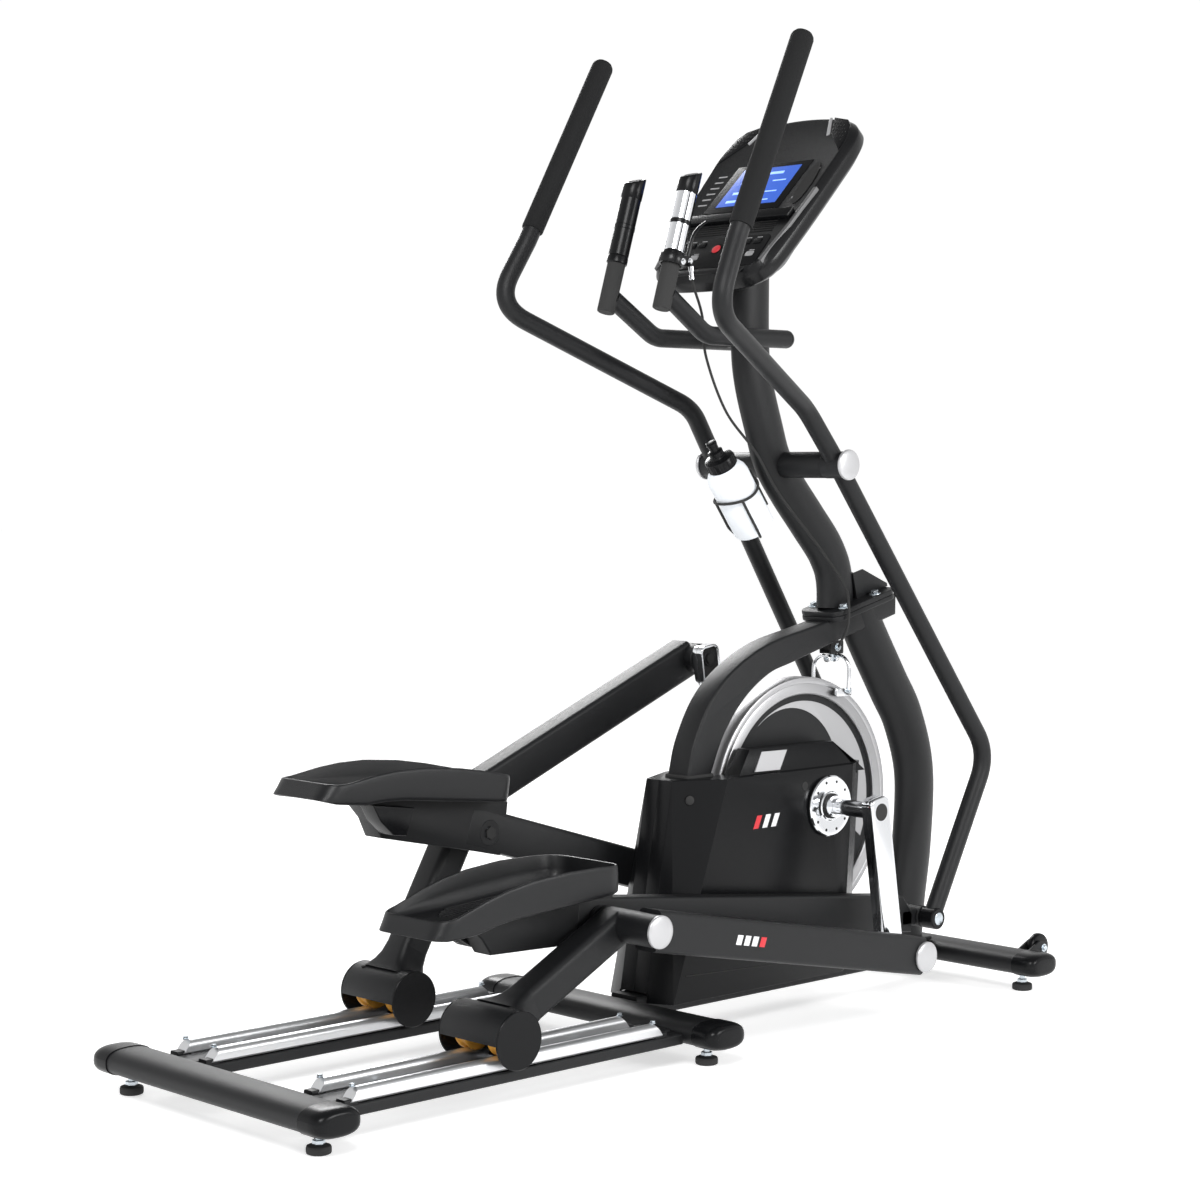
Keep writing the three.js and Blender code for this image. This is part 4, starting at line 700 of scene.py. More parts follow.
def merged_copy(node, name, bevel):
    """Copy of a CAD node with its loose triangles merged, flat areas joined and edges rounded."""
    mesh = frame["nodes"][node].data.copy()
    mesh.name = name
    work = bmesh.new()
    work.from_mesh(mesh)
    bmesh.ops.remove_doubles(work, verts=work.verts, dist=1e-5)
    bmesh.ops.dissolve_limit(work, angle_limit=math.radians(1.5), verts=work.verts, edges=work.edges)
    work.to_mesh(mesh)
    work.free()
    piece = bpy.data.objects.new(name, mesh)
    bpy.context.scene.collection.objects.link(piece)
    edge = piece.modifiers.new("edge", "BEVEL")
    edge.width = bevel / 1000
    edge.segments = 3
    edge.limit_method = "ANGLE"
    edge.angle_limit = math.radians(14)
    edge.use_clamp_overlap = True
    edge.harden_normals = True
    mesh.polygons.foreach_set("use_smooth", [True] * len(mesh.polygons))
    mesh.materials.clear()
    return piece


def housing():
    """Housing halves with rounded edges; seams, screw wells, lid trim and stripe are thin pieces on them; the
    wells are dark discs of painted shade.
    """
    for name, side in SIDES.items():
        piece = merged_copy(name + "_housing", name + "_housing_shell", 2.2)
        piece.data.materials.append(look("plastic"))
        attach(piece, "frame")
        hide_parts(name + "_housing")
        trim = Skin(name + "_housing_trim")
        skew = [(-172, 424.5), (-110, 423.5), (-82, 455), (-146, 456)]
        outer = [(CRANK[0] + x, 62.4 if z < 440 else 53.0, z) for x, z in skew]
        inner = [(x, y - 3, z - 1) for x, y, z in outer]
        trim.add([outer, inner], "cap")
        # Painted shade: each screw well is a dark disc just proud of the wall, standing in for the shade
        # inside the well.
        for dx, z, y in ((-318, 388, 51), (-352, 196, 52), (-60, 392, 75), (-40, 120, 75), (-330, 110, 62)):
            axis = (0, 1, 0) if y > 70 else (-0.46, 0.88, 0)
            well = [(7.5, -2), (7.5, 0.3), (6.5, 0.6)]
            trim.add(turned(well, (CRANK[0] + dx, y, z), axis, 24), "dark")
        seam = [(CRANK[0] - 352, 0, 102), (CRANK[0] - 120, 0, 92), (CRANK[0] + 36, 0, 92)]
        trim.add(carry([(x, 75.0, z) for x, _, z in seam], oval(0.6, 1.0, 8), side=(0, 1, 0)), "dark")
        for k in range(3):
            x = CRANK[0] - 190 + 22 * k
            mark = [(x, 330), (x + 12, 330), (x + 22, 352), (x + 10, 352)]
            trim.add(slab(mark, WALL_Y, WALL_Y + 0.9, 0.2), "red" if k == 0 else "white")
        trim.mirrored(side).build("frame", slot="housing_plastic")


# ---------------------------------------------------------------- rail arms, rollers, pedals
def square_bar(a, b, y0, y1, height, r=7.0):
    """Rounded rectangular tube between two points of an XZ plane, from y0 to y1 across."""
    a, b = np.asarray(a, float), np.asarray(b, float)
    mid = (y0 + y1) / 2
    return carry([(a[0], mid, a[1]), (b[0], mid, b[1])], rounded((y1 - y0) / 2, height / 2, r))


def domed(skin, x, z, y=ARM_OUT):
    """Silver cap: flat rim, then a dome of radius 26 sqrt(1 - 0.97 a a) at 4 + 5 a, for a from 0 to 1."""
    t = np.linspace(0, 1, 8)
    dome = [(26 * math.sqrt(1 - a * a * 0.97), 4 + 5 * a) for a in t]
    skin.add(turned([(25, 0), (26, 1), (26, 4)] + dome[1:], (x, y, z), (0, 1, 0), 56), "cap")


def rail_arm(name, side):
    """Outer bar with capped hubs, leg down to the roller drum, and the drum cover."""
    k, p = KNEE, PIN
    link = LINKS[name]
    skin = Skin(name + "_rail_lever")
    skin.add(square_bar(k, p, ARM_IN, ARM_OUT, 65, 8), "coat")
    leg = [(0.14 * k[0], 0.14 * k[1]), k]
    skin.add(square_bar(*leg, LEG_Y - 27, LEG_Y + 27, 54, 12), "coat")
    for (x, z), y0 in ((k, LEG_Y - 27), (p, 197)):
        hub = [(25, y0), (26, y0 + 1), (26, ARM_OUT), (25, ARM_OUT + 0.5)]
        skin.add(turned(hub, (x, 0, z), (0, 1, 0), 56), "coat")
        domed(skin, x, z, ARM_OUT + 0.4)
    skin.add(turned([(14, 193), (14, 200)], (p[0], 3, p[1]), (0, 1, 0), 32), "chrome")
    skin.add(turned([(10, 84), (10, LEG_Y - 26)], (k[0], 0, k[1]), (0, 1, 0), 32), "zinc")
    skin.add(turned([(10, 80.6), (11, 81.4), (11, 84.6)], (k[0], 0, k[1]), (0, 1, 0), 6), "dark")
    start, stop = math.radians(-62) - link["tilt"], math.radians(184) - link["tilt"]
    t = np.linspace(start, stop, 40)
    arcs = np.concatenate([np.stack([44 * np.cos(t), 44 * np.sin(t)], 1),
                           np.stack([40.5 * np.cos(t[::-1]), 40.5 * np.sin(t[::-1])], 1)])
    skin.add(slab(arcs, LEG_Y - 66, LEG_Y + 66, 1.4), "coat")
    for y, out in ((LEG_Y - 62.9, -1), (LEG_Y + 62.9, 1)):
        disc = [(43.6, 0), (44.2, 0.8), (44.2, 3), (43.2, 4)]
        skin.add(turned(disc, (0, y, 0), (0, out, 0), 64), "plastic")
    direction = np.array([k[0], 0, k[1]]) / math.hypot(*k)
    flare = []
    for grow, back in ((30, 30), (22, 36), (12, 46), (4, 60), (0.3, 78)):
        centre = direction * back + (0, LEG_Y, 0)
        section = rounded(27 + grow * 0.9, 27 + grow * 0.3, 12 + grow * 0.3)
        flare.append(centre + carry([(0, 0, 0), direction], section)[0])
    skin.add(np.array(flare), "coat")
    skin.add(turned([(6, LEG_Y - 63), (6, LEG_Y + 63)], (0, 0, 0), (0, 1, 0), 24), "zinc")
    skin.add(turned([(16, LEG_Y - 20), (16, LEG_Y + 20)], (0, 0, 0), (0, 1, 0), 32), "coat")
    skin.add(turned([(4.5, 0), (4.5, 1.2), (3.5, 1.8)], (8, LEG_Y + 40, 43.2), (0.18, 0, 1), 20), "dark")
    for index, x in enumerate((430, 448, 466, 484)):
        mark = [(x, 62), (x + 12, 62), (x + 18, 78), (x + 6, 78)]
        skin.add(slab([(a, b - 0.1923 * (a - 430) + 29) for a, b in mark], ARM_OUT - 0.4, ARM_OUT + 0.4, 0.1),
                 "red" if index == 3 else "white")
    skin.placed(link["roller"], link["tilt"]).mirrored(side)
    skin.build(name + "_arm", name + "_rail_arm", slot="black_frame")
    for which, s in (("outer", 1), ("inner", -1)):
        y = LEG_Y + s * ROD_OUT
        roll = Skin(f"{name}_{which}_wheel")
        v = np.linspace(-8, 8, 9)
        groove = [(34 - math.sqrt(100 - a * a) - 0.7, a) for a in v]
        edge = [(6.6, 14), (25, 14), (27, 13), (28, 11)]
        profile = [(a, -b) for a, b in edge] + groove + edge[::-1]
        roll.add(turned(profile, link["roller"] * (1, 0, 1) + (0, y, 0), (0, 1, 0), 48), "roller", loop=True)
        roller = f"{name}_{which}_roller"
        roll.mirrored(side).build(roller + "_body", roller, slot="roller_orange")


def pedal_beam(name, side):
    """Rectangular beam with a chamfered front, its joint lug, and the deep bracket under the pedal."""
    link = LINKS[name]
    skin = Skin(name + "_step_beam")
    front = [(-46, -28.5), (773, -28.5), (773, 6), (742, 36.5), (-20, 36.5), (-46, 32)]
    skin.add(slab(front, BEAM_IN, BEAM_OUT, 5), "coat")
    skin.add(square_bar((745, -4), (BEAM_REACH, 0), BEAM_IN + 6, BEAM_OUT, 30, 4), "coat")
    tip = (BEAM_REACH, 0, 0)
    lug = [(18, BEAM_IN + 2), (19, BEAM_IN + 3), (19, BEAM_OUT + 4), (18, BEAM_OUT + 5)]
    skin.add(turned(lug, tip), "coat")
    skin.add(turned([(13, BEAM_IN - 0.5), (14, BEAM_IN), (14, BEAM_IN + 2.2)], tip), "chrome")
    skin.add(turned([(20, BEAM_IN - 0.8), (21, BEAM_IN), (21, BEAM_IN + 3)], (0, 0, 0)), "coat")
    skin.add(turned([(24, BEAM_OUT - 3), (25, BEAM_OUT - 2), (24, BEAM_OUT + 2)], (0, 0, 0)), "coat")
    bracket = Skin("bracket")
    side_view = [(-272, 40), (-240, 12), (-222, -16), (-25, -31), (28, -36), (34, -20), (34, 52), (-225, 46)]
    bracket.add(slab(side_view, BEAM_IN + 0.5, BEAM_OUT - 0.5, 3), "coat")
    wing = [(-272, 36), (-254, 12), (-226, -8), (-200, -8), (-190, 36)]
    bracket.add(slab(wing, BEAM_IN - 34, BEAM_IN + 2, 2), "plastic")
    bracket.placed((0, 0, 0), BEAM_RISE)
    skin.parts += bracket.parts
    skin.placed(link["knee"], link["beam"]).mirrored(side)
    skin.build(name + "_step", name + "_pedal_beam", slot="black_frame")


def pedal(name, side):
    """Tray: a plan outline carried up a wall profile.

    Each ring is the outline moved inwards by d, at base + lift (rim - base). rim rises from the heel to
    the toe, and base is the underside for the outer rings and the tread for the inner ones."""
    s = sizes()
    link = LINKS[name]
    long_, half = s.pedal_length, s.pedal_width / 2
    y_mid = BEAM_IN + 27.5
    front, back = 2.0, 2.0 - long_
    corners = [(front, 0), (front, half), (-120, half), (back + 14, half * 0.9), (back + 10, -half * 0.9),
               (-120, -half), (front, -half), (front, 0)]
    plan = even(bend(corners, [52, 300, 30, 30, 300, 52], 12), 161)[:-1]
    u = plan[:, 0]
    rim = np.interp(u, [back, -352, -334, -310, -280, -240, -190, -120, -60, front],
                    [64, 65, 68, 75, 84, 93, 100, 103, 101, 96])
    under = np.interp(u, [back, -340, -296, -262, -225, front], [40, 35, 36, 43, 47, 54])
    floor = np.interp(u, [back, -340, -250, front], [58, 52, 50, 57])
    heel = np.clip((-300 - u) / 60, 0, 1)
    heel = heel * heel * (3 - 2 * heel)
    stations = [(46, 0.0, 0), (20, 0.0, 0), (9, 0.0, 0), (3.4, 0.0, 0), (1.4, 0.04, 0), (0.6, 0.14, 0),
                (0.3, 0.4, 0), (0, 0.7, 0), (0.4, 0.9, 0), (1.0, 0.97, 0), (2.4, 1.0, 0), (4.2, 0.99, 0),
                (5.4, 0.92, 0), (7, 0.5, 1), (10, 0.1, 1), (15, 0.01, 1), (24, 0.0, 1), (46, 0.0, 1)]
    rings = []
    for d, lift, inside in stations:
        o = inset(plan, d) if d < 30 else np.stack([u * 0.86 - 26, plan[:, 1] * 0.25], 1)
        base = floor if inside else under
        z = base + lift * (rim - base)
        out = 0 if inside else 15 * heel * (1 - lift) ** 1.4 * (d < 5)
        rings.append(np.stack([o[:, 0] - out, o[:, 1] + y_mid, z], 1))
    skin = Skin(name + "_foot_tray").add(np.array(rings), "tray")
    for k in range(11):
        v = y_mid + (k - 5) * 10.5
        reach = 1 - 0.35 * ((k - 5) / 5) ** 2
        x0, x1 = -175 - 125 * reach, -150 + 120 * reach
        rib = [(x0, v, 51), (x0 + 8, v, 52.4), (x1 - 8, v, 56.4), (x1, v, 55)]
        skin.add(carry(rib, oval(2.0, 1.8, 8)), "tray")
    skin.placed(link["knee"], link["beam"] + BEAM_RISE).mirrored(side)
    skin.build(name + "_step", name + "_pedal", slot="housing_plastic", sharp=50)


# ---------------------------------------------------------------- swing arms
def swing_arm(name, side):
    """Bent tube from grip to lower joint, its hub and cap, the joint's end cap, and the foam grip."""
    s = sizes()
    rest = LINKS["right"]["swing"]
    radius = PIVOT[2] - JOINT_HEIGHT
    foot = (radius * math.cos(rest), 150, radius * math.sin(rest))
    corners = np.array([(-225.4, 260, 673.2), (-373.9, 260, 351.6), (-429.2, 270, 235.9), (-74.9, 138, 92.1),
                        (0, 142, 0), (408.1, 146, -521.6), foot])
    top, low = corners[0], corners[1] + 0.06 * (corners[0] - corners[1])
    start = top + 0.05 * (low - top)
    path = bend(np.concatenate([[start], corners[1:]]), [40, 95, 85, 120, 75], 14)
    tilt = LINKS[name]["swing"] - rest
    skin = Skin(name + "_handle_lever")
    skin.add(carry(path, oval(s.swing_tube, s.swing_tube, 32)), "coat")
    skin.add(turned([(22, 118.4), (23, 119.4), (23, 164), (22, 165)], (0, 0, 0)), "coat")
    domed(skin, 0, 0, 164)
    end = corners[-1]
    skin.add(turned([(17, 134.2), (19, 136), (19, 164), (17, 166)], (end[0], 0, end[2])), "plastic")
    skin.add(turned([(11, 166), (11, 167), (9, 168)], (end[0], 0, end[2])), "zinc")
    skin.placed(PIVOT, tilt).mirrored(side)
    skin.build(name + "_swing", name + "_swing_arm", slot="black_frame")
    grip = Skin(name + "_foam")
    span = np.linalg.norm(top - low)
    tip = [(s.foam - a, span + b) for a, b in ((0, 2), (1.5, 7), (5, 11.5), (10, 14))]
    profile = [(16.4, 0), (18.4, 0.4), (19, 2)] + tip + [(1, span + 15)]
    grip.add(turned(profile, low, top - low, 48), "foam")
    grip.placed(PIVOT, tilt).mirrored(side)
    grip.build(name + "_swing", name + "_foam_grip", slot="black_rubber")


# ---------------------------------------------------------------- fixed handlebar, pulse grips, lever, cable
GRIP_LOW = np.array([PIVOT[0] - 345, 65, PIVOT[2] + 251])
GRIP_HIGH = np.array([PIVOT[0] - 274, 65, PIVOT[2] + 481])
GRIP_SPAN = float(np.linalg.norm(GRIP_HIGH - GRIP_LOW))
GRIP_AXIS = (GRIP_HIGH - GRIP_LOW) / GRIP_SPAN


def handlebar():
    """Two bent tubes joined by a cross tube, and a pulse grip with two sensor sleeves on each."""
    skin = Skin("handlebar_tubes")
    z = PIVOT[2] + 213
    for side in (-1, 1):
        run = [(-40, 60, 0), (-235, 60, 0), (-330, 64, 62)]
        path = bend([(PIVOT[0] + dx, side * y, z + dz) for dx, y, dz in run], [60], 14)
        skin.add(carry(path, oval(15.5, 15.5, 32)), "coat")
        t = np.linspace(0, np.pi / 2, 6)
        dome = [(15.5 * math.cos(a), 12 * math.sin(a)) for a in t]
        skin.add(turned([(15.5, -1)] + dome, (PIVOT[0] - 40, side * 60, z), (1, 0, 0), 32), "plastic")
    skin.add(turned([(12, -58), (12, 58)], (PIVOT[0] - 66, 0, z), (0, 1, 0), 32), "coat")
    skin.build("frame", "fixed_handlebar", slot="black_frame")
    for name, side in SIDES.items():
        grip = Skin(name + "_pulse_handle")
        low = GRIP_LOW
        foam = [(0, 0), (13, 0), (14.6, 1.2), (15, 4), (15.2, 84), (14.4, 87), (10, 88)]
        grip.add(turned(foam, low, GRIP_AXIS, 40), "rubber")
        grip.add(turned([(15, 84), (17.4, 86), (17.4, 96), (16.8, 97.5)], low, GRIP_AXIS, 40), "plastic")
        sleeve = "chrome" if side < 0 else "plastic"
        for start, stop in ((98, 145), (151, 199)):
            edges = [(16, start), (17, start + 1), (17, stop - 1), (16, stop)]
            grip.add(turned(edges, low, GRIP_AXIS, 40), sleeve)
        grip.add(turned([(16, 144), (17.5, 145), (17.5, 151), (16, 152)], low, GRIP_AXIS, 40), "plastic")
        grip.add(turned([(15, 96), (15, 205)], low, GRIP_AXIS, 32), "plastic")
        crown = [(17.9, GRIP_SPAN - 6), (17, GRIP_SPAN - 3), (1, GRIP_SPAN - 3)]
        cap = turned([(16.6, 198), (17.7, 200), (17.9, 214)] + crown, low, GRIP_AXIS, 40)
        for ring in (3, 4, 5):
            offset = (cap[ring] - (low + GRIP_AXIS * (GRIP_SPAN - 5))) @ np.array([-1.0, 0, 0.3])
            cap[ring] += GRIP_AXIS * (-0.55 * offset - 6)[:, None]
        grip.add(cap, "plastic")
        slant = GRIP_AXIS + 0.55 * np.array([-1.0, 0, 0.3])
        slant /= np.linalg.norm(slant)
        tip = low + GRIP_AXIS * (GRIP_SPAN - 9)
        halo = [(9.5, 0), (11.5, 0), (11.5, 1.2), (9.5, 1.2)]
        grip.add(turned(halo, tip, slant, 32), "trim", loop=True)
        grip.add(turned([(9, 0), (9, 0.8)], tip, slant, 32), "dark")
        grip.mirrored(side).build("frame", name + "_pulse_grip", slot="black_rubber")


def brake_control():
    """Clamp and lever on the right grip, and the cable that runs down to the rim brake."""
    pin = joint_at("brake_lever_squeeze")
    ring_at = GRIP_LOW * (1, -1, 1) + 84 * GRIP_AXIS
    clamp = Skin("lever_band")
    band = [(17.6, -8), (20.6, -8), (21.2, -7), (21.2, 7), (20.6, 8), (17.6, 8)]
    clamp.add(turned(band, ring_at, GRIP_AXIS, 48), "gloss", loop=True)
    for lean in (-1, 1):
        cheek = np.array([(-15, -10), (4, -9), (6, 0), (4, 8), (-15, 9)]) + pin[[0, 2]]
        clamp.add(slab(cheek, pin[1] + lean * 5.2 - 1.6, pin[1] + lean * 5.2 + 1.6, 0.6), "gloss")
    bolt(clamp, ring_at + (4, -20.4, -3), (0.1, -1, 0), 3.6, "chrome")
    bolt(clamp, pin + (0, -7.2, 0), (0, -1, 0), 3.4, "chrome")
    barrel = pin + (-2, -12, -8)
    adjuster = [(3.6, 0), (4.6, 1), (4.6, 9), (3.4, 10), (3.4, 16), (4.4, 17), (4.4, 22), (3, 23)]
    clamp.add(turned(adjuster, barrel, (0.1, 0, -1), 24), "chrome")
    clamp.add(carry([pin + (-4, -4, -4), pin + (-2, -12, -9)], oval(4, 4, 16), side=(1, 0, 0)), "gloss")
    clamp.build("frame", "lever_clamp", slot="chrome")
    lever = Skin("brake_handle")
    path = spline([pin, pin + (7.5, 0, 22), pin + (16, 0, 43), pin + (29, 0, 57), pin + (46, 0, 67)], 30)
    width = np.linspace(1.0, 0.75, 30)[:, None, None]
    lever.add(carry(path, oval(4.2, 2.9, 20)[None] * width), "gloss")
    lever.add(turned([(5, -3), (5, 3)], pin, (0, 1, 0), 24), "gloss")
    lever.add(turned([(2.2, -8.6), (2.2, 8.6)], pin, (0, 1, 0), 16), "zinc")
    lever.build("lever", "brake_lever", slot="housing_plastic")

    brake = joint_at("right_pad_close")
    hanging = [(-222, -38, 246), (-196, -22, 180), (-150, -24, 90), (-90, -36, 22), (-30, -36, -50)]
    route = [pin + (-2, -12, -22), pin + (14, -4, -44)]
    route += [(PIVOT[0] + dx, y, PIVOT[2] + dz) for dx, y, dz in hanging]
    route += [at_crank(20, 800, -34), at_crank(68, 735, -50), at_crank(74, 700, -56),
              at_crank(76, 660, -52), at_crank(78, 632, -34), (CRANK[0] + 84, -24, brake[2] + 22)]
    cable = Skin("brake_wire")
    cable.add(carry(spline(route, 150), oval(2.3, 2.3, 12)), "rubber")
    cable.build("frame", "brake_cable", slot="black_rubber")


def rim_brake():
    """U-shaped bracket under the arch, two sprung pad arms of bright wire, rubber pads in steel shoes."""
    for name, side in SIDES.items():
        hinge = joint_at(name + "_pad_close")
        x = hinge[0] + (-10 if side > 0 else 10)
        arm = Skin(name + "_pad_lever")
        bow = [(-4, 1), (14, 4), (30, -8), (33, -30), (31, -58)]
        path = spline([(x, side * y, hinge[2] + dz) for y, dz in bow], 40)
        arm.add(carry(path, oval(3.4, 3.4, 16), side=(1, 0, 0)), "chrome")
        arm.add(turned([(6.6, -3.8), (7, -3), (7, 3), (6.6, 3.8)], (x, 0, hinge[2]), (1, 0, 0), 24), "chrome")
        shoe = rounded(20, 7, 3)
        low, high = sorted((side * 25.5, side * 31))
        arm.add(slab(shoe + (hinge[0], hinge[2] - 59), low, high, 1), "chrome")
        low, high = sorted((side * 18.6, side * 25.4))
        arm.add(slab(rounded(18, 6, 2) + (hinge[0], hinge[2] - 59), low, high, 0.8), "rubber")
        bolt(arm, (x, side * 31, hinge[2] - 56), (0, side, 0), 4)
        arm.build(name + "_pad_arm", name + "_brake_arm", slot="chrome")
    hinge = joint_at("left_pad_close")
    skin = Skin("brake_mount")
    for y in (-12, 12):
        skin.add(slab(rounded(17, 12, 3) + (hinge[0], hinge[2] + 20), y - 1.6, y + 1.6, 0.6), "coat")
    skin.add(slab(rounded(17, 12, 2) + (hinge[0], 0), hinge[2] + 9, hinge[2] + 12, 0.6, "xy"), "coat")
    skin.add(turned([(3, -15.6), (3, 15.6)], hinge, (1, 0, 0), 20), "zinc")
    bolt(skin, (hinge[0], -13.6, hinge[2] + 20), (0, -1, 0), 5)
    skin.add(carry([(hinge[0], 0, hinge[2] - 5), (hinge[0], 0, hinge[2] + 11)], oval(4.6, 4.6, 20)), "zinc")
    skin.build("frame", "brake_bracket", slot="chrome")


# ---------------------------------------------------------------- console
FACE_TILT = math.radians(48.2)
CONSOLE_AT = np.array([PIVOT[0] - 190, 0, PIVOT[2] + 316])


def on_face(rings):
    """From face coordinates (to the rider's right, up the face, out of the face) to the machine's."""
    rings = np.asarray(rings, float)
    right = np.array([0, -1.0, 0])
    up = np.array([math.cos(FACE_TILT), 0, math.sin(FACE_TILT)])
    out = np.array([-math.sin(FACE_TILT), 0, math.cos(FACE_TILT)])
    return CONSOLE_AT + rings[..., :1] * right + rings[..., 1:2] * up + rings[..., 2:] * out


def face_plate(outline, low, high, edge=0.6):
    """Flat outline on the console's face, from low to high out of it."""
    return on_face(slab(outline, low, high, edge, "xy"))


def face_plan():
    """Outline of the console's face: a spline through one half and its mirror."""
    half = [(0, -6), (70, -4), (108, 6), (132, 36), (143, 120), (150, 240), (151, 315), (134, 354), (90, 376),
            (0, 385)]
    return spline(half + [(-a, b) for a, b in half[-2::-1]], 121)[:-1]


def console():
    """Face, rim, side bands, stepped back, lit display, speakers, keys and their labels."""

    def scaled(plan, middle, profile):
        """Rings of the plan at middle + f (plan - middle), each at its height z."""
        middle = np.array(middle)
        return [np.column_stack([(plan - middle) * f + middle, np.full(len(plan), z)]) for f, z in profile]

    skin = Skin("console_body")
    profile = [(0.925, 0.0), (0.94, 0.4), (0.955, -0.4), (0.985, -7), (1.0, -11), (1.005, -13),
               (1.005, -30), (0.995, -33), (0.93, -42), (0.8, -44), (0.5, -44.5)]
    skin.add(on_face(scaled(face_plan(), (0, 190.0), profile)), "gloss")
    hump = rounded(104, 122, 44, 8) + (0, 166)
    back = [(1.0, -38), (0.99, -50), (0.95, -62), (0.86, -72), (0.7, -78), (0.4, -80)]
    skin.add(on_face(scaled(hump, (0, 166.0), back)), "shell")
    for side in (-1, 1):
        band = [(124, 26), (138, 110), (145.6, 196), (139, 196), (131, 112), (116, 30)]
        skin.add(face_plate([(side * a, b) for a, b in band], -10, 1.2, 0.8), "trim")
        corner = [(82, 372), (118, 362), (131, 347), (141, 312), (139, 286), (98, 330)]
        skin.add(face_plate([(side * a, b) for a, b in corner], -8, 1.6, 1.2), "plastic")
        # Painted shade: the speaker holes are small dark discs on the corner piece, standing in for the shade
        # inside the holes.
        for row in range(7):
            for col in range(7):
                u, v = 92 + 6.5 * col, 302 + 9 * row
                if v > 330 - 0.9 * (u - 98) + 6 and v < 366 - 0.02 * (u - 88) ** 2:
                    hole = turned([(1.7, 0), (1.7, 1.8)], (side * u, v, 0.2), (0, 0, 1), 8)
                    skin.add(on_face(hole), "dark")
        slash = [(70, 372), (77, 372), (96, 330), (90, 326)]
        skin.add(face_plate([(side * a, b) for a, b in slash], -0.5, 1.8), "cap")
    bezel = [(-92, 154), (84, 154), (96, 268), (-78, 268)]
    skin.add(face_plate(bezel, -0.4, 0.8, 0.5), "plastic")
    for row in range(6):
        u, v = -118 + row, 176 + 14 * row
        skin.add(face_plate([(u, v), (u + 20, v), (u + 20, v + 3), (u, v + 3)], -0.3, 0.7, 0.2), "label")
    for row in range(5):
        v = 176 + 17 * row
        skin.add(face_plate(rounded(9 - 0.6 * row, 2.2, 2, 3) + (110 + 2 * row, v), -0.3, 1.0, 0.4), "label")
    ring_t = np.linspace(0, 2 * np.pi, 49)[:-1]
    loop_path = np.column_stack([114 + 14 * np.cos(ring_t), 210 + 50 * np.sin(ring_t), np.full(48, 0.6)])
    skin.add(on_face(np.array([loop_path, loop_path * (1, 1, 0) + (0, 0, 1.2)])), "dark")
    skin.add(face_plate([(-128, 124), (128, 124), (130, 142), (-130, 142)], -0.4, 10, 3), "plastic")
    for k in range(5):
        v = 98 + 5.5 * k
        skin.add(face_plate([(-104, v), (104, v), (104, v + 2), (-104, v + 2)], -0.3, 0.9, 0.3), "dark")
    skin.add(face_plate(rounded(112, 36, 12, 5) + (0, 54), -0.4, 0.9, 0.5), "plastic")
    for row, v in enumerate((74, 44)):
        for u in (-88, -64, -40, 40, 64, 88):
            kind = "label" if row else "plastic"
            skin.add(face_plate(rounded(8.5, 5.5, 2.5, 3) + (u, v), 0.4, 2.6, 0.8), kind)
            skin.add(face_plate(rounded(6, 1.0, 0.9, 2) + (u, v + 9), 0.4, 1.1, 0.1), "label")
    skin.add(face_plate(rounded(13, 13, 12.5, 6) + (0, 62), -4, 0.9, 0.4), "plastic")
    skin.add(face_plate([(-96, 12), (96, 12), (90, 2), (-90, 2)], -0.4, 3, 1.2), "gloss")
    skin.build("frame", "console_shell", slot="housing_plastic")

    lit = Skin("console_screen")
    lit.add(face_plate([(-70, 168), (68, 168), (76, 258), (-58, 258)], -4, 1.4, 0.5), "display")
    bars = [(-52, 176, 22), (-20, 176, 30), (20, 176, 26), (-48, 196, 26), (-10, 196, 18), (22, 196, 32),
            (-44, 222, 60), (30, 222, 30), (-42, 240, 24), (0, 240, 44)]
    for k, (u, v, w) in enumerate(bars):
        top = v + (2.5 if k % 3 else 6)
        lit.add(face_plate([(u, v), (u + w, v), (u + w, top), (u, top)], 1.2, 1.7, 0.1), "digits")
    lit.build("frame", "console_display", slot="display_blue")
    key = Skin("start_button")
    button = [(8.6, -4.6), (8.8, 1.4), (8.0, 2.4), (5, 2.8)]
    key.add(on_face(turned(button, (0, 62, 0), (0, 0, 1), 32)), "red")
    key.build("key", "start_key", slot="key_red")


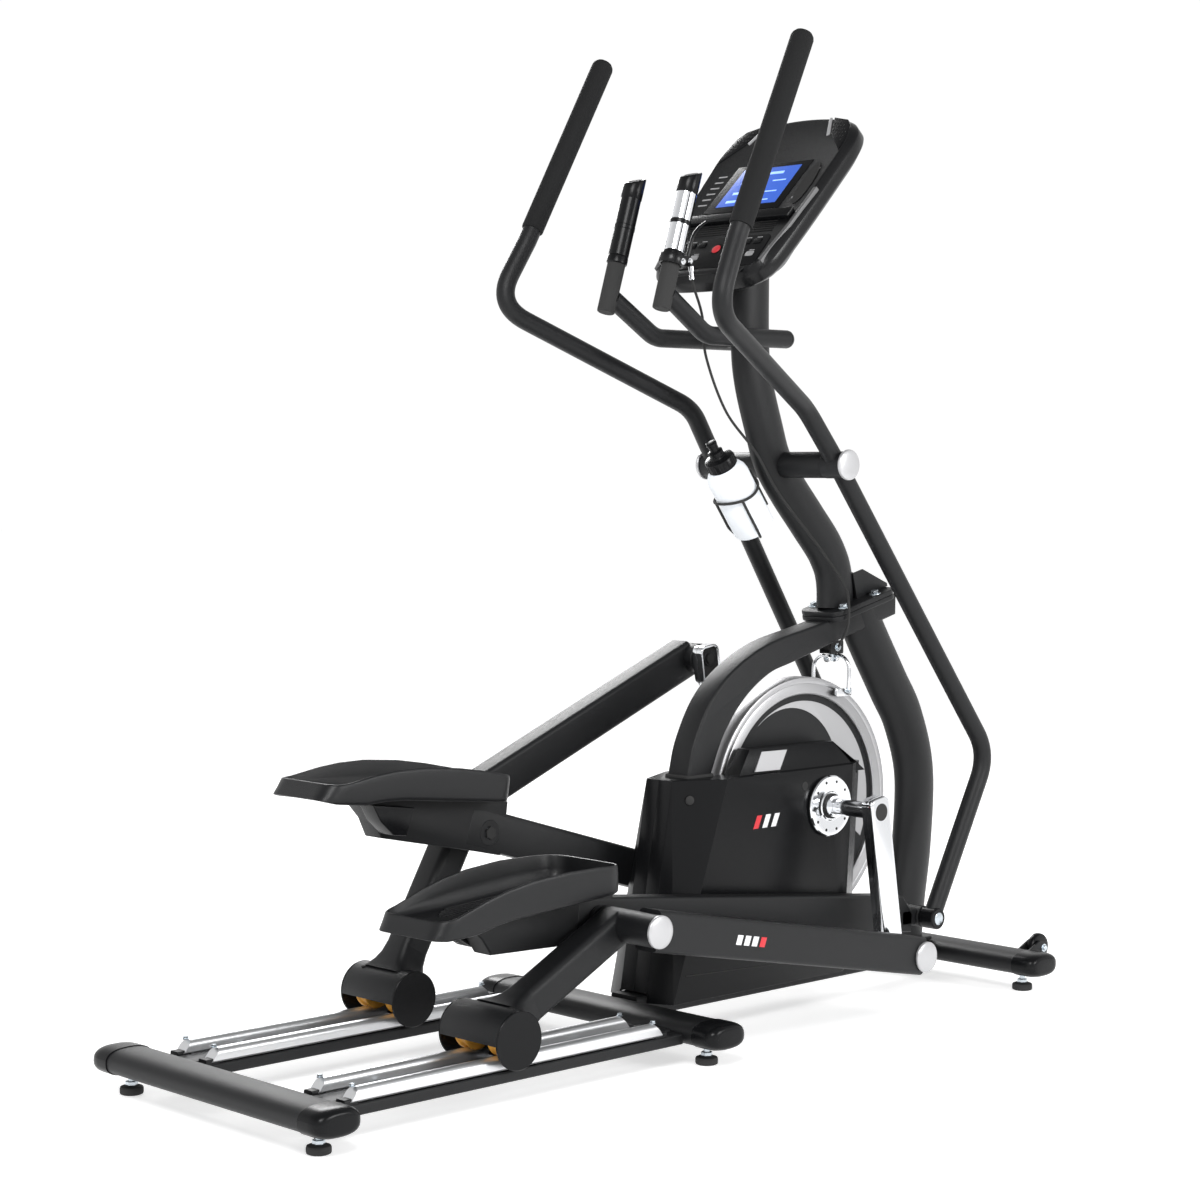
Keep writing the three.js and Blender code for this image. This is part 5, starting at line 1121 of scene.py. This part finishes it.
# ---------------------------------------------------------------- bottle
def bottle():
    """Bottle with a waist and a ribbed cap, and the wire cage: a wavy hoop, side wires and a back wire."""
    low = np.array([PIVOT[0] - 52, 0, PIVOT[2] - 110])
    axis = np.array([-0.598, 0, 0.802])
    axis /= np.linalg.norm(axis)
    skin = Skin("drinks_bottle")
    body = [(0, 1), (30, 0), (34.5, 1.5), (36.6, 5), (36.6, 62), (35.6, 66), (35.6, 70), (36.6, 74),
            (36.6, 112), (35, 120), (31, 127), (26, 132), (24, 134)]
    skin.add(turned(body, low, axis, 56), "bottle")
    cap = [(25, 133), (26, 134), (26, 150), (25, 152), (15, 155), (13, 158), (13, 166), (8, 168), (8, 178),
           (9.5, 179), (9.5, 183), (7, 184), (1, 184)]
    skin.add(turned(cap, low, axis, 40), "plastic")
    for k in range(20):
        a = 2 * math.pi * k / 20
        front = np.cross(axis, (0, 1, 0))
        spot = low + axis * 135 + 26 * (math.cos(a) * np.array([0, 1, 0]) + math.sin(a) * front)
        skin.add(carry([spot, spot + axis * 14], oval(1.0, 1.0, 6)), "plastic")
    skin.build("bottle", "bottle", slot="bottle_white")

    cage = Skin("bottle_wire")
    front = -np.cross(axis, (0, 1, 0))

    def around(d, a, r):
        """Point d along the bottle's axis and r from it, turned by a from the side of the mast."""
        return low + axis * d + r * (math.sin(a) * np.array([0, 1.0, 0]) + math.cos(a) * front)

    r = 40.5
    hoop = np.array([around(80 + 4 * math.cos(2 * a), a, r) for a in np.linspace(0, 2 * np.pi, 65)[:-1]])
    closed = np.concatenate([hoop, hoop[:1]])
    rings = carry(closed, oval(2.4, 2.4, 12), side=axis)[:-1]
    cage.add(rings, "rubber", loop=True)
    for lean in (1, -1):
        a = 2.2 * lean
        corners = [around(80, a, r), around(20, a, r), around(-5, a, r * 0.8), around(-5, 0, 2)]
        side_wire = bend(corners, 14, 8)
        cage.add(carry(side_wire, oval(2.4, 2.4, 12), side=front), "rubber")
    back_wire = bend([around(-5, math.pi, 24), around(-5, 0, r), around(100, 0, r)], 8, 8)
    cage.add(carry(back_wire, oval(2.6, 2.6, 12)), "rubber")
    strap = rounded(9, 4, 2)
    cage.add(carry([around(20, 0, 42), around(95, 0, 42)], strap), "rubber")
    cage.build("frame", "bottle_cage", slot="black_rubber")


def hidden_drive():
    """The drive inside the housing and the spine keep their CAD shape and get their finishes."""
    for node, kind in (("drive_pulley", "zinc"), ("jackshaft", "zinc"), ("drive_belt", "rubber"),
                       ("flywheel_belt", "rubber"), ("base_spine", "coat")):
        mesh = frame["nodes"][node].data
        mesh.materials.clear()
        mesh.materials.append(look(kind))


# ---------------------------------------------------------------- stage
def aim(direction):
    """Rotation that turns the -Z axis of a lamp or camera to a direction."""
    return Vector(direction).to_track_quat("-Z", "Y").to_euler()


def add_light(name, at, towards, power, size):
    """Round area lamp in the frame's metres."""
    data = bpy.data.lights.new(name, "AREA")
    data.energy = power
    data.shape = "DISK"
    data.size = size
    lamp = bpy.data.objects.new(name, data)
    bpy.context.scene.collection.objects.link(lamp)
    lamp.location = at
    lamp.rotation_euler = aim(np.asarray(towards, float) - np.asarray(at, float))


CAMERA_AT = (-2.1073 - REAR_LINE / 1000, -3.0149, 0.9425)
CAMERA_LENS = 76.84
CAMERA_HEADING = math.radians(46.53)
CAMERA_PITCH = math.radians(-3.0)


def build_stage():
    """Pale floor, a world that is white level with the eye and darker overhead, three lamps, the camera."""
    scene = bpy.context.scene
    half = 30.0
    corners = [(-half, -half, 0), (half, -half, 0), (half, half, 0), (-half, half, 0)]
    mesh = bpy.data.meshes.new("floor")
    mesh.from_pydata(corners, [], [(0, 1, 2, 3)])
    floor = bpy.data.objects.new("floor", mesh)
    mesh.materials.append(finish("pale_floor", colours().floor, 0.9, grain=(4, 0.01), gleam=0.0, emit=0.72))
    scene.collection.objects.link(floor)
    world = bpy.data.worlds.new("studio")
    scene.world = world
    world.use_nodes = True
    nodes, links = world.node_tree.nodes, world.node_tree.links
    sky = nodes["Background"]
    sky.inputs["Color"].default_value = (1, 1, 1, 1)
    place = nodes.new("ShaderNodeTexCoord")
    parts = nodes.new("ShaderNodeSeparateXYZ")
    fall = nodes.new("ShaderNodeMapRange")
    fall.interpolation_type = "SMOOTHSTEP"
    fall.inputs["From Min"].default_value = 0.3
    fall.inputs["From Max"].default_value = 0.85
    fall.inputs["To Min"].default_value = 1.02
    fall.inputs["To Max"].default_value = 0.3
    links.new(place.outputs["Generated"], parts.inputs["Vector"])
    links.new(parts.outputs["Z"], fall.inputs["Value"])
    links.new(fall.outputs["Result"], sky.inputs["Strength"])
    add_light("key", (-2.6, -2.2, 3.2), (0, 0, 0.6), 110, 1.8)
    add_light("side", (1.2, -3.6, 1.8), (0.2, 0, 0.6), 60, 1.4)
    add_light("back", (1.8, 3.0, 2.6), (0, 0, 0.8), 70, 1.6)
    camera = bpy.data.cameras.new("camera")
    camera.sensor_width = 36
    camera.lens = CAMERA_LENS
    viewer = bpy.data.objects.new("camera", camera)
    scene.collection.objects.link(viewer)
    viewer.location = CAMERA_AT
    level = math.cos(CAMERA_PITCH)
    viewer.rotation_euler = aim((math.cos(CAMERA_HEADING) * level, math.sin(CAMERA_HEADING) * level,
                                 math.sin(CAMERA_PITCH)))
    scene.camera = viewer
    scene.view_settings.view_transform = "Standard"


# ---------------------------------------------------------------- operators
class TrainerOperator:
    """What the trainer's operators share"""

    bl_options = {"REGISTER", "UNDO"}


class TRAINER_OT_base(TrainerOperator, bpy.types.Operator):
    """Crossbars, feet, rails and transport wheels"""

    bl_idname = "trainer.base"
    bl_label = "Base"

    def execute(self, context):
        feet = {"rear": 231, "middle": 229.5, "front": 219}
        for name, spacing in feet.items():
            low, high = cad_box(name + "_left_foot")
            crossbar(name, (low[0] + high[0]) / 2, spacing)
        for name, side in SIDES.items():
            rails(name, side)
        wheels()
        return {"FINISHED"}


class TRAINER_OT_masts(TrainerOperator, bpy.types.Operator):
    """Lower and upper mast, arch tube and the swing arms' cross shaft"""

    bl_idname = "trainer.masts"
    bl_label = "Masts and Arch"

    def execute(self, context):
        masts()
        arch()
        swing_shaft()
        return {"FINISHED"}


class TRAINER_OT_drive(TrainerOperator, bpy.types.Operator):
    """Flywheel, cranks, housing, hidden drive and rim brake"""

    bl_idname = "trainer.drive"
    bl_label = "Drive"

    def execute(self, context):
        flywheel()
        cranks()
        housing()
        hidden_drive()
        rim_brake()
        return {"FINISHED"}


class TRAINER_OT_linkage(TrainerOperator, bpy.types.Operator):
    """Rail arms, rollers, pedal beams, pedals and swing arms"""

    bl_idname = "trainer.linkage"
    bl_label = "Linkage"

    def execute(self, context):
        for name, side in SIDES.items():
            rail_arm(name, side)
            pedal_beam(name, side)
            pedal(name, side)
            swing_arm(name, side)
        return {"FINISHED"}


class TRAINER_OT_controls(TrainerOperator, bpy.types.Operator):
    """Fixed handlebar, pulse grips, brake lever and cable, console"""

    bl_idname = "trainer.controls"
    bl_label = "Controls"

    def execute(self, context):
        handlebar()
        brake_control()
        console()
        return {"FINISHED"}


class TRAINER_OT_bottle(TrainerOperator, bpy.types.Operator):
    """Drinks bottle and its wire cage"""

    bl_idname = "trainer.bottle"
    bl_label = "Bottle"

    def execute(self, context):
        bottle()
        return {"FINISHED"}


class TRAINER_OT_stage(TrainerOperator, bpy.types.Operator):
    """Floor, light and camera"""

    bl_idname = "trainer.stage"
    bl_label = "Stage"

    def execute(self, context):
        build_stage()
        return {"FINISHED"}


OPERATORS = (TRAINER_OT_base, TRAINER_OT_masts, TRAINER_OT_drive, TRAINER_OT_linkage, TRAINER_OT_controls,
             TRAINER_OT_bottle, TRAINER_OT_stage)


class TRAINER_PT_panel(bpy.types.Panel):
    """Lists the trainer's operators, sizes and colours"""

    bl_idname = "TRAINER_PT_panel"
    bl_label = "Trainer"
    bl_space_type = "VIEW_3D"
    bl_region_type = "UI"
    bl_category = "Trainer"

    def draw(self, context):
        for operator in OPERATORS:
            self.layout.operator(operator.bl_idname)
        for group in (context.scene.trainer_sizes, context.scene.trainer_colours):
            for name in group.__annotations__:
                self.layout.prop(group, name)


CLASSES = (TrainerColours, TrainerSizes, *OPERATORS, TRAINER_PT_panel)


def register():
    for cls in CLASSES:
        bpy.utils.register_class(cls)
    bpy.types.Scene.trainer_colours = bpy.props.PointerProperty(type=TrainerColours)
    bpy.types.Scene.trainer_sizes = bpy.props.PointerProperty(type=TrainerSizes)


def unregister():
    del bpy.types.Scene.trainer_sizes
    del bpy.types.Scene.trainer_colours
    for cls in reversed(CLASSES):
        bpy.utils.unregister_class(cls)


def main():
    """Builds the whole scene."""
    register()
    bpy.ops.trainer.stage()
    bpy.ops.trainer.base()
    bpy.ops.trainer.masts()
    bpy.ops.trainer.drive()
    bpy.ops.trainer.linkage()
    bpy.ops.trainer.controls()
    bpy.ops.trainer.bottle()


if __name__ == "__main__":
    main()
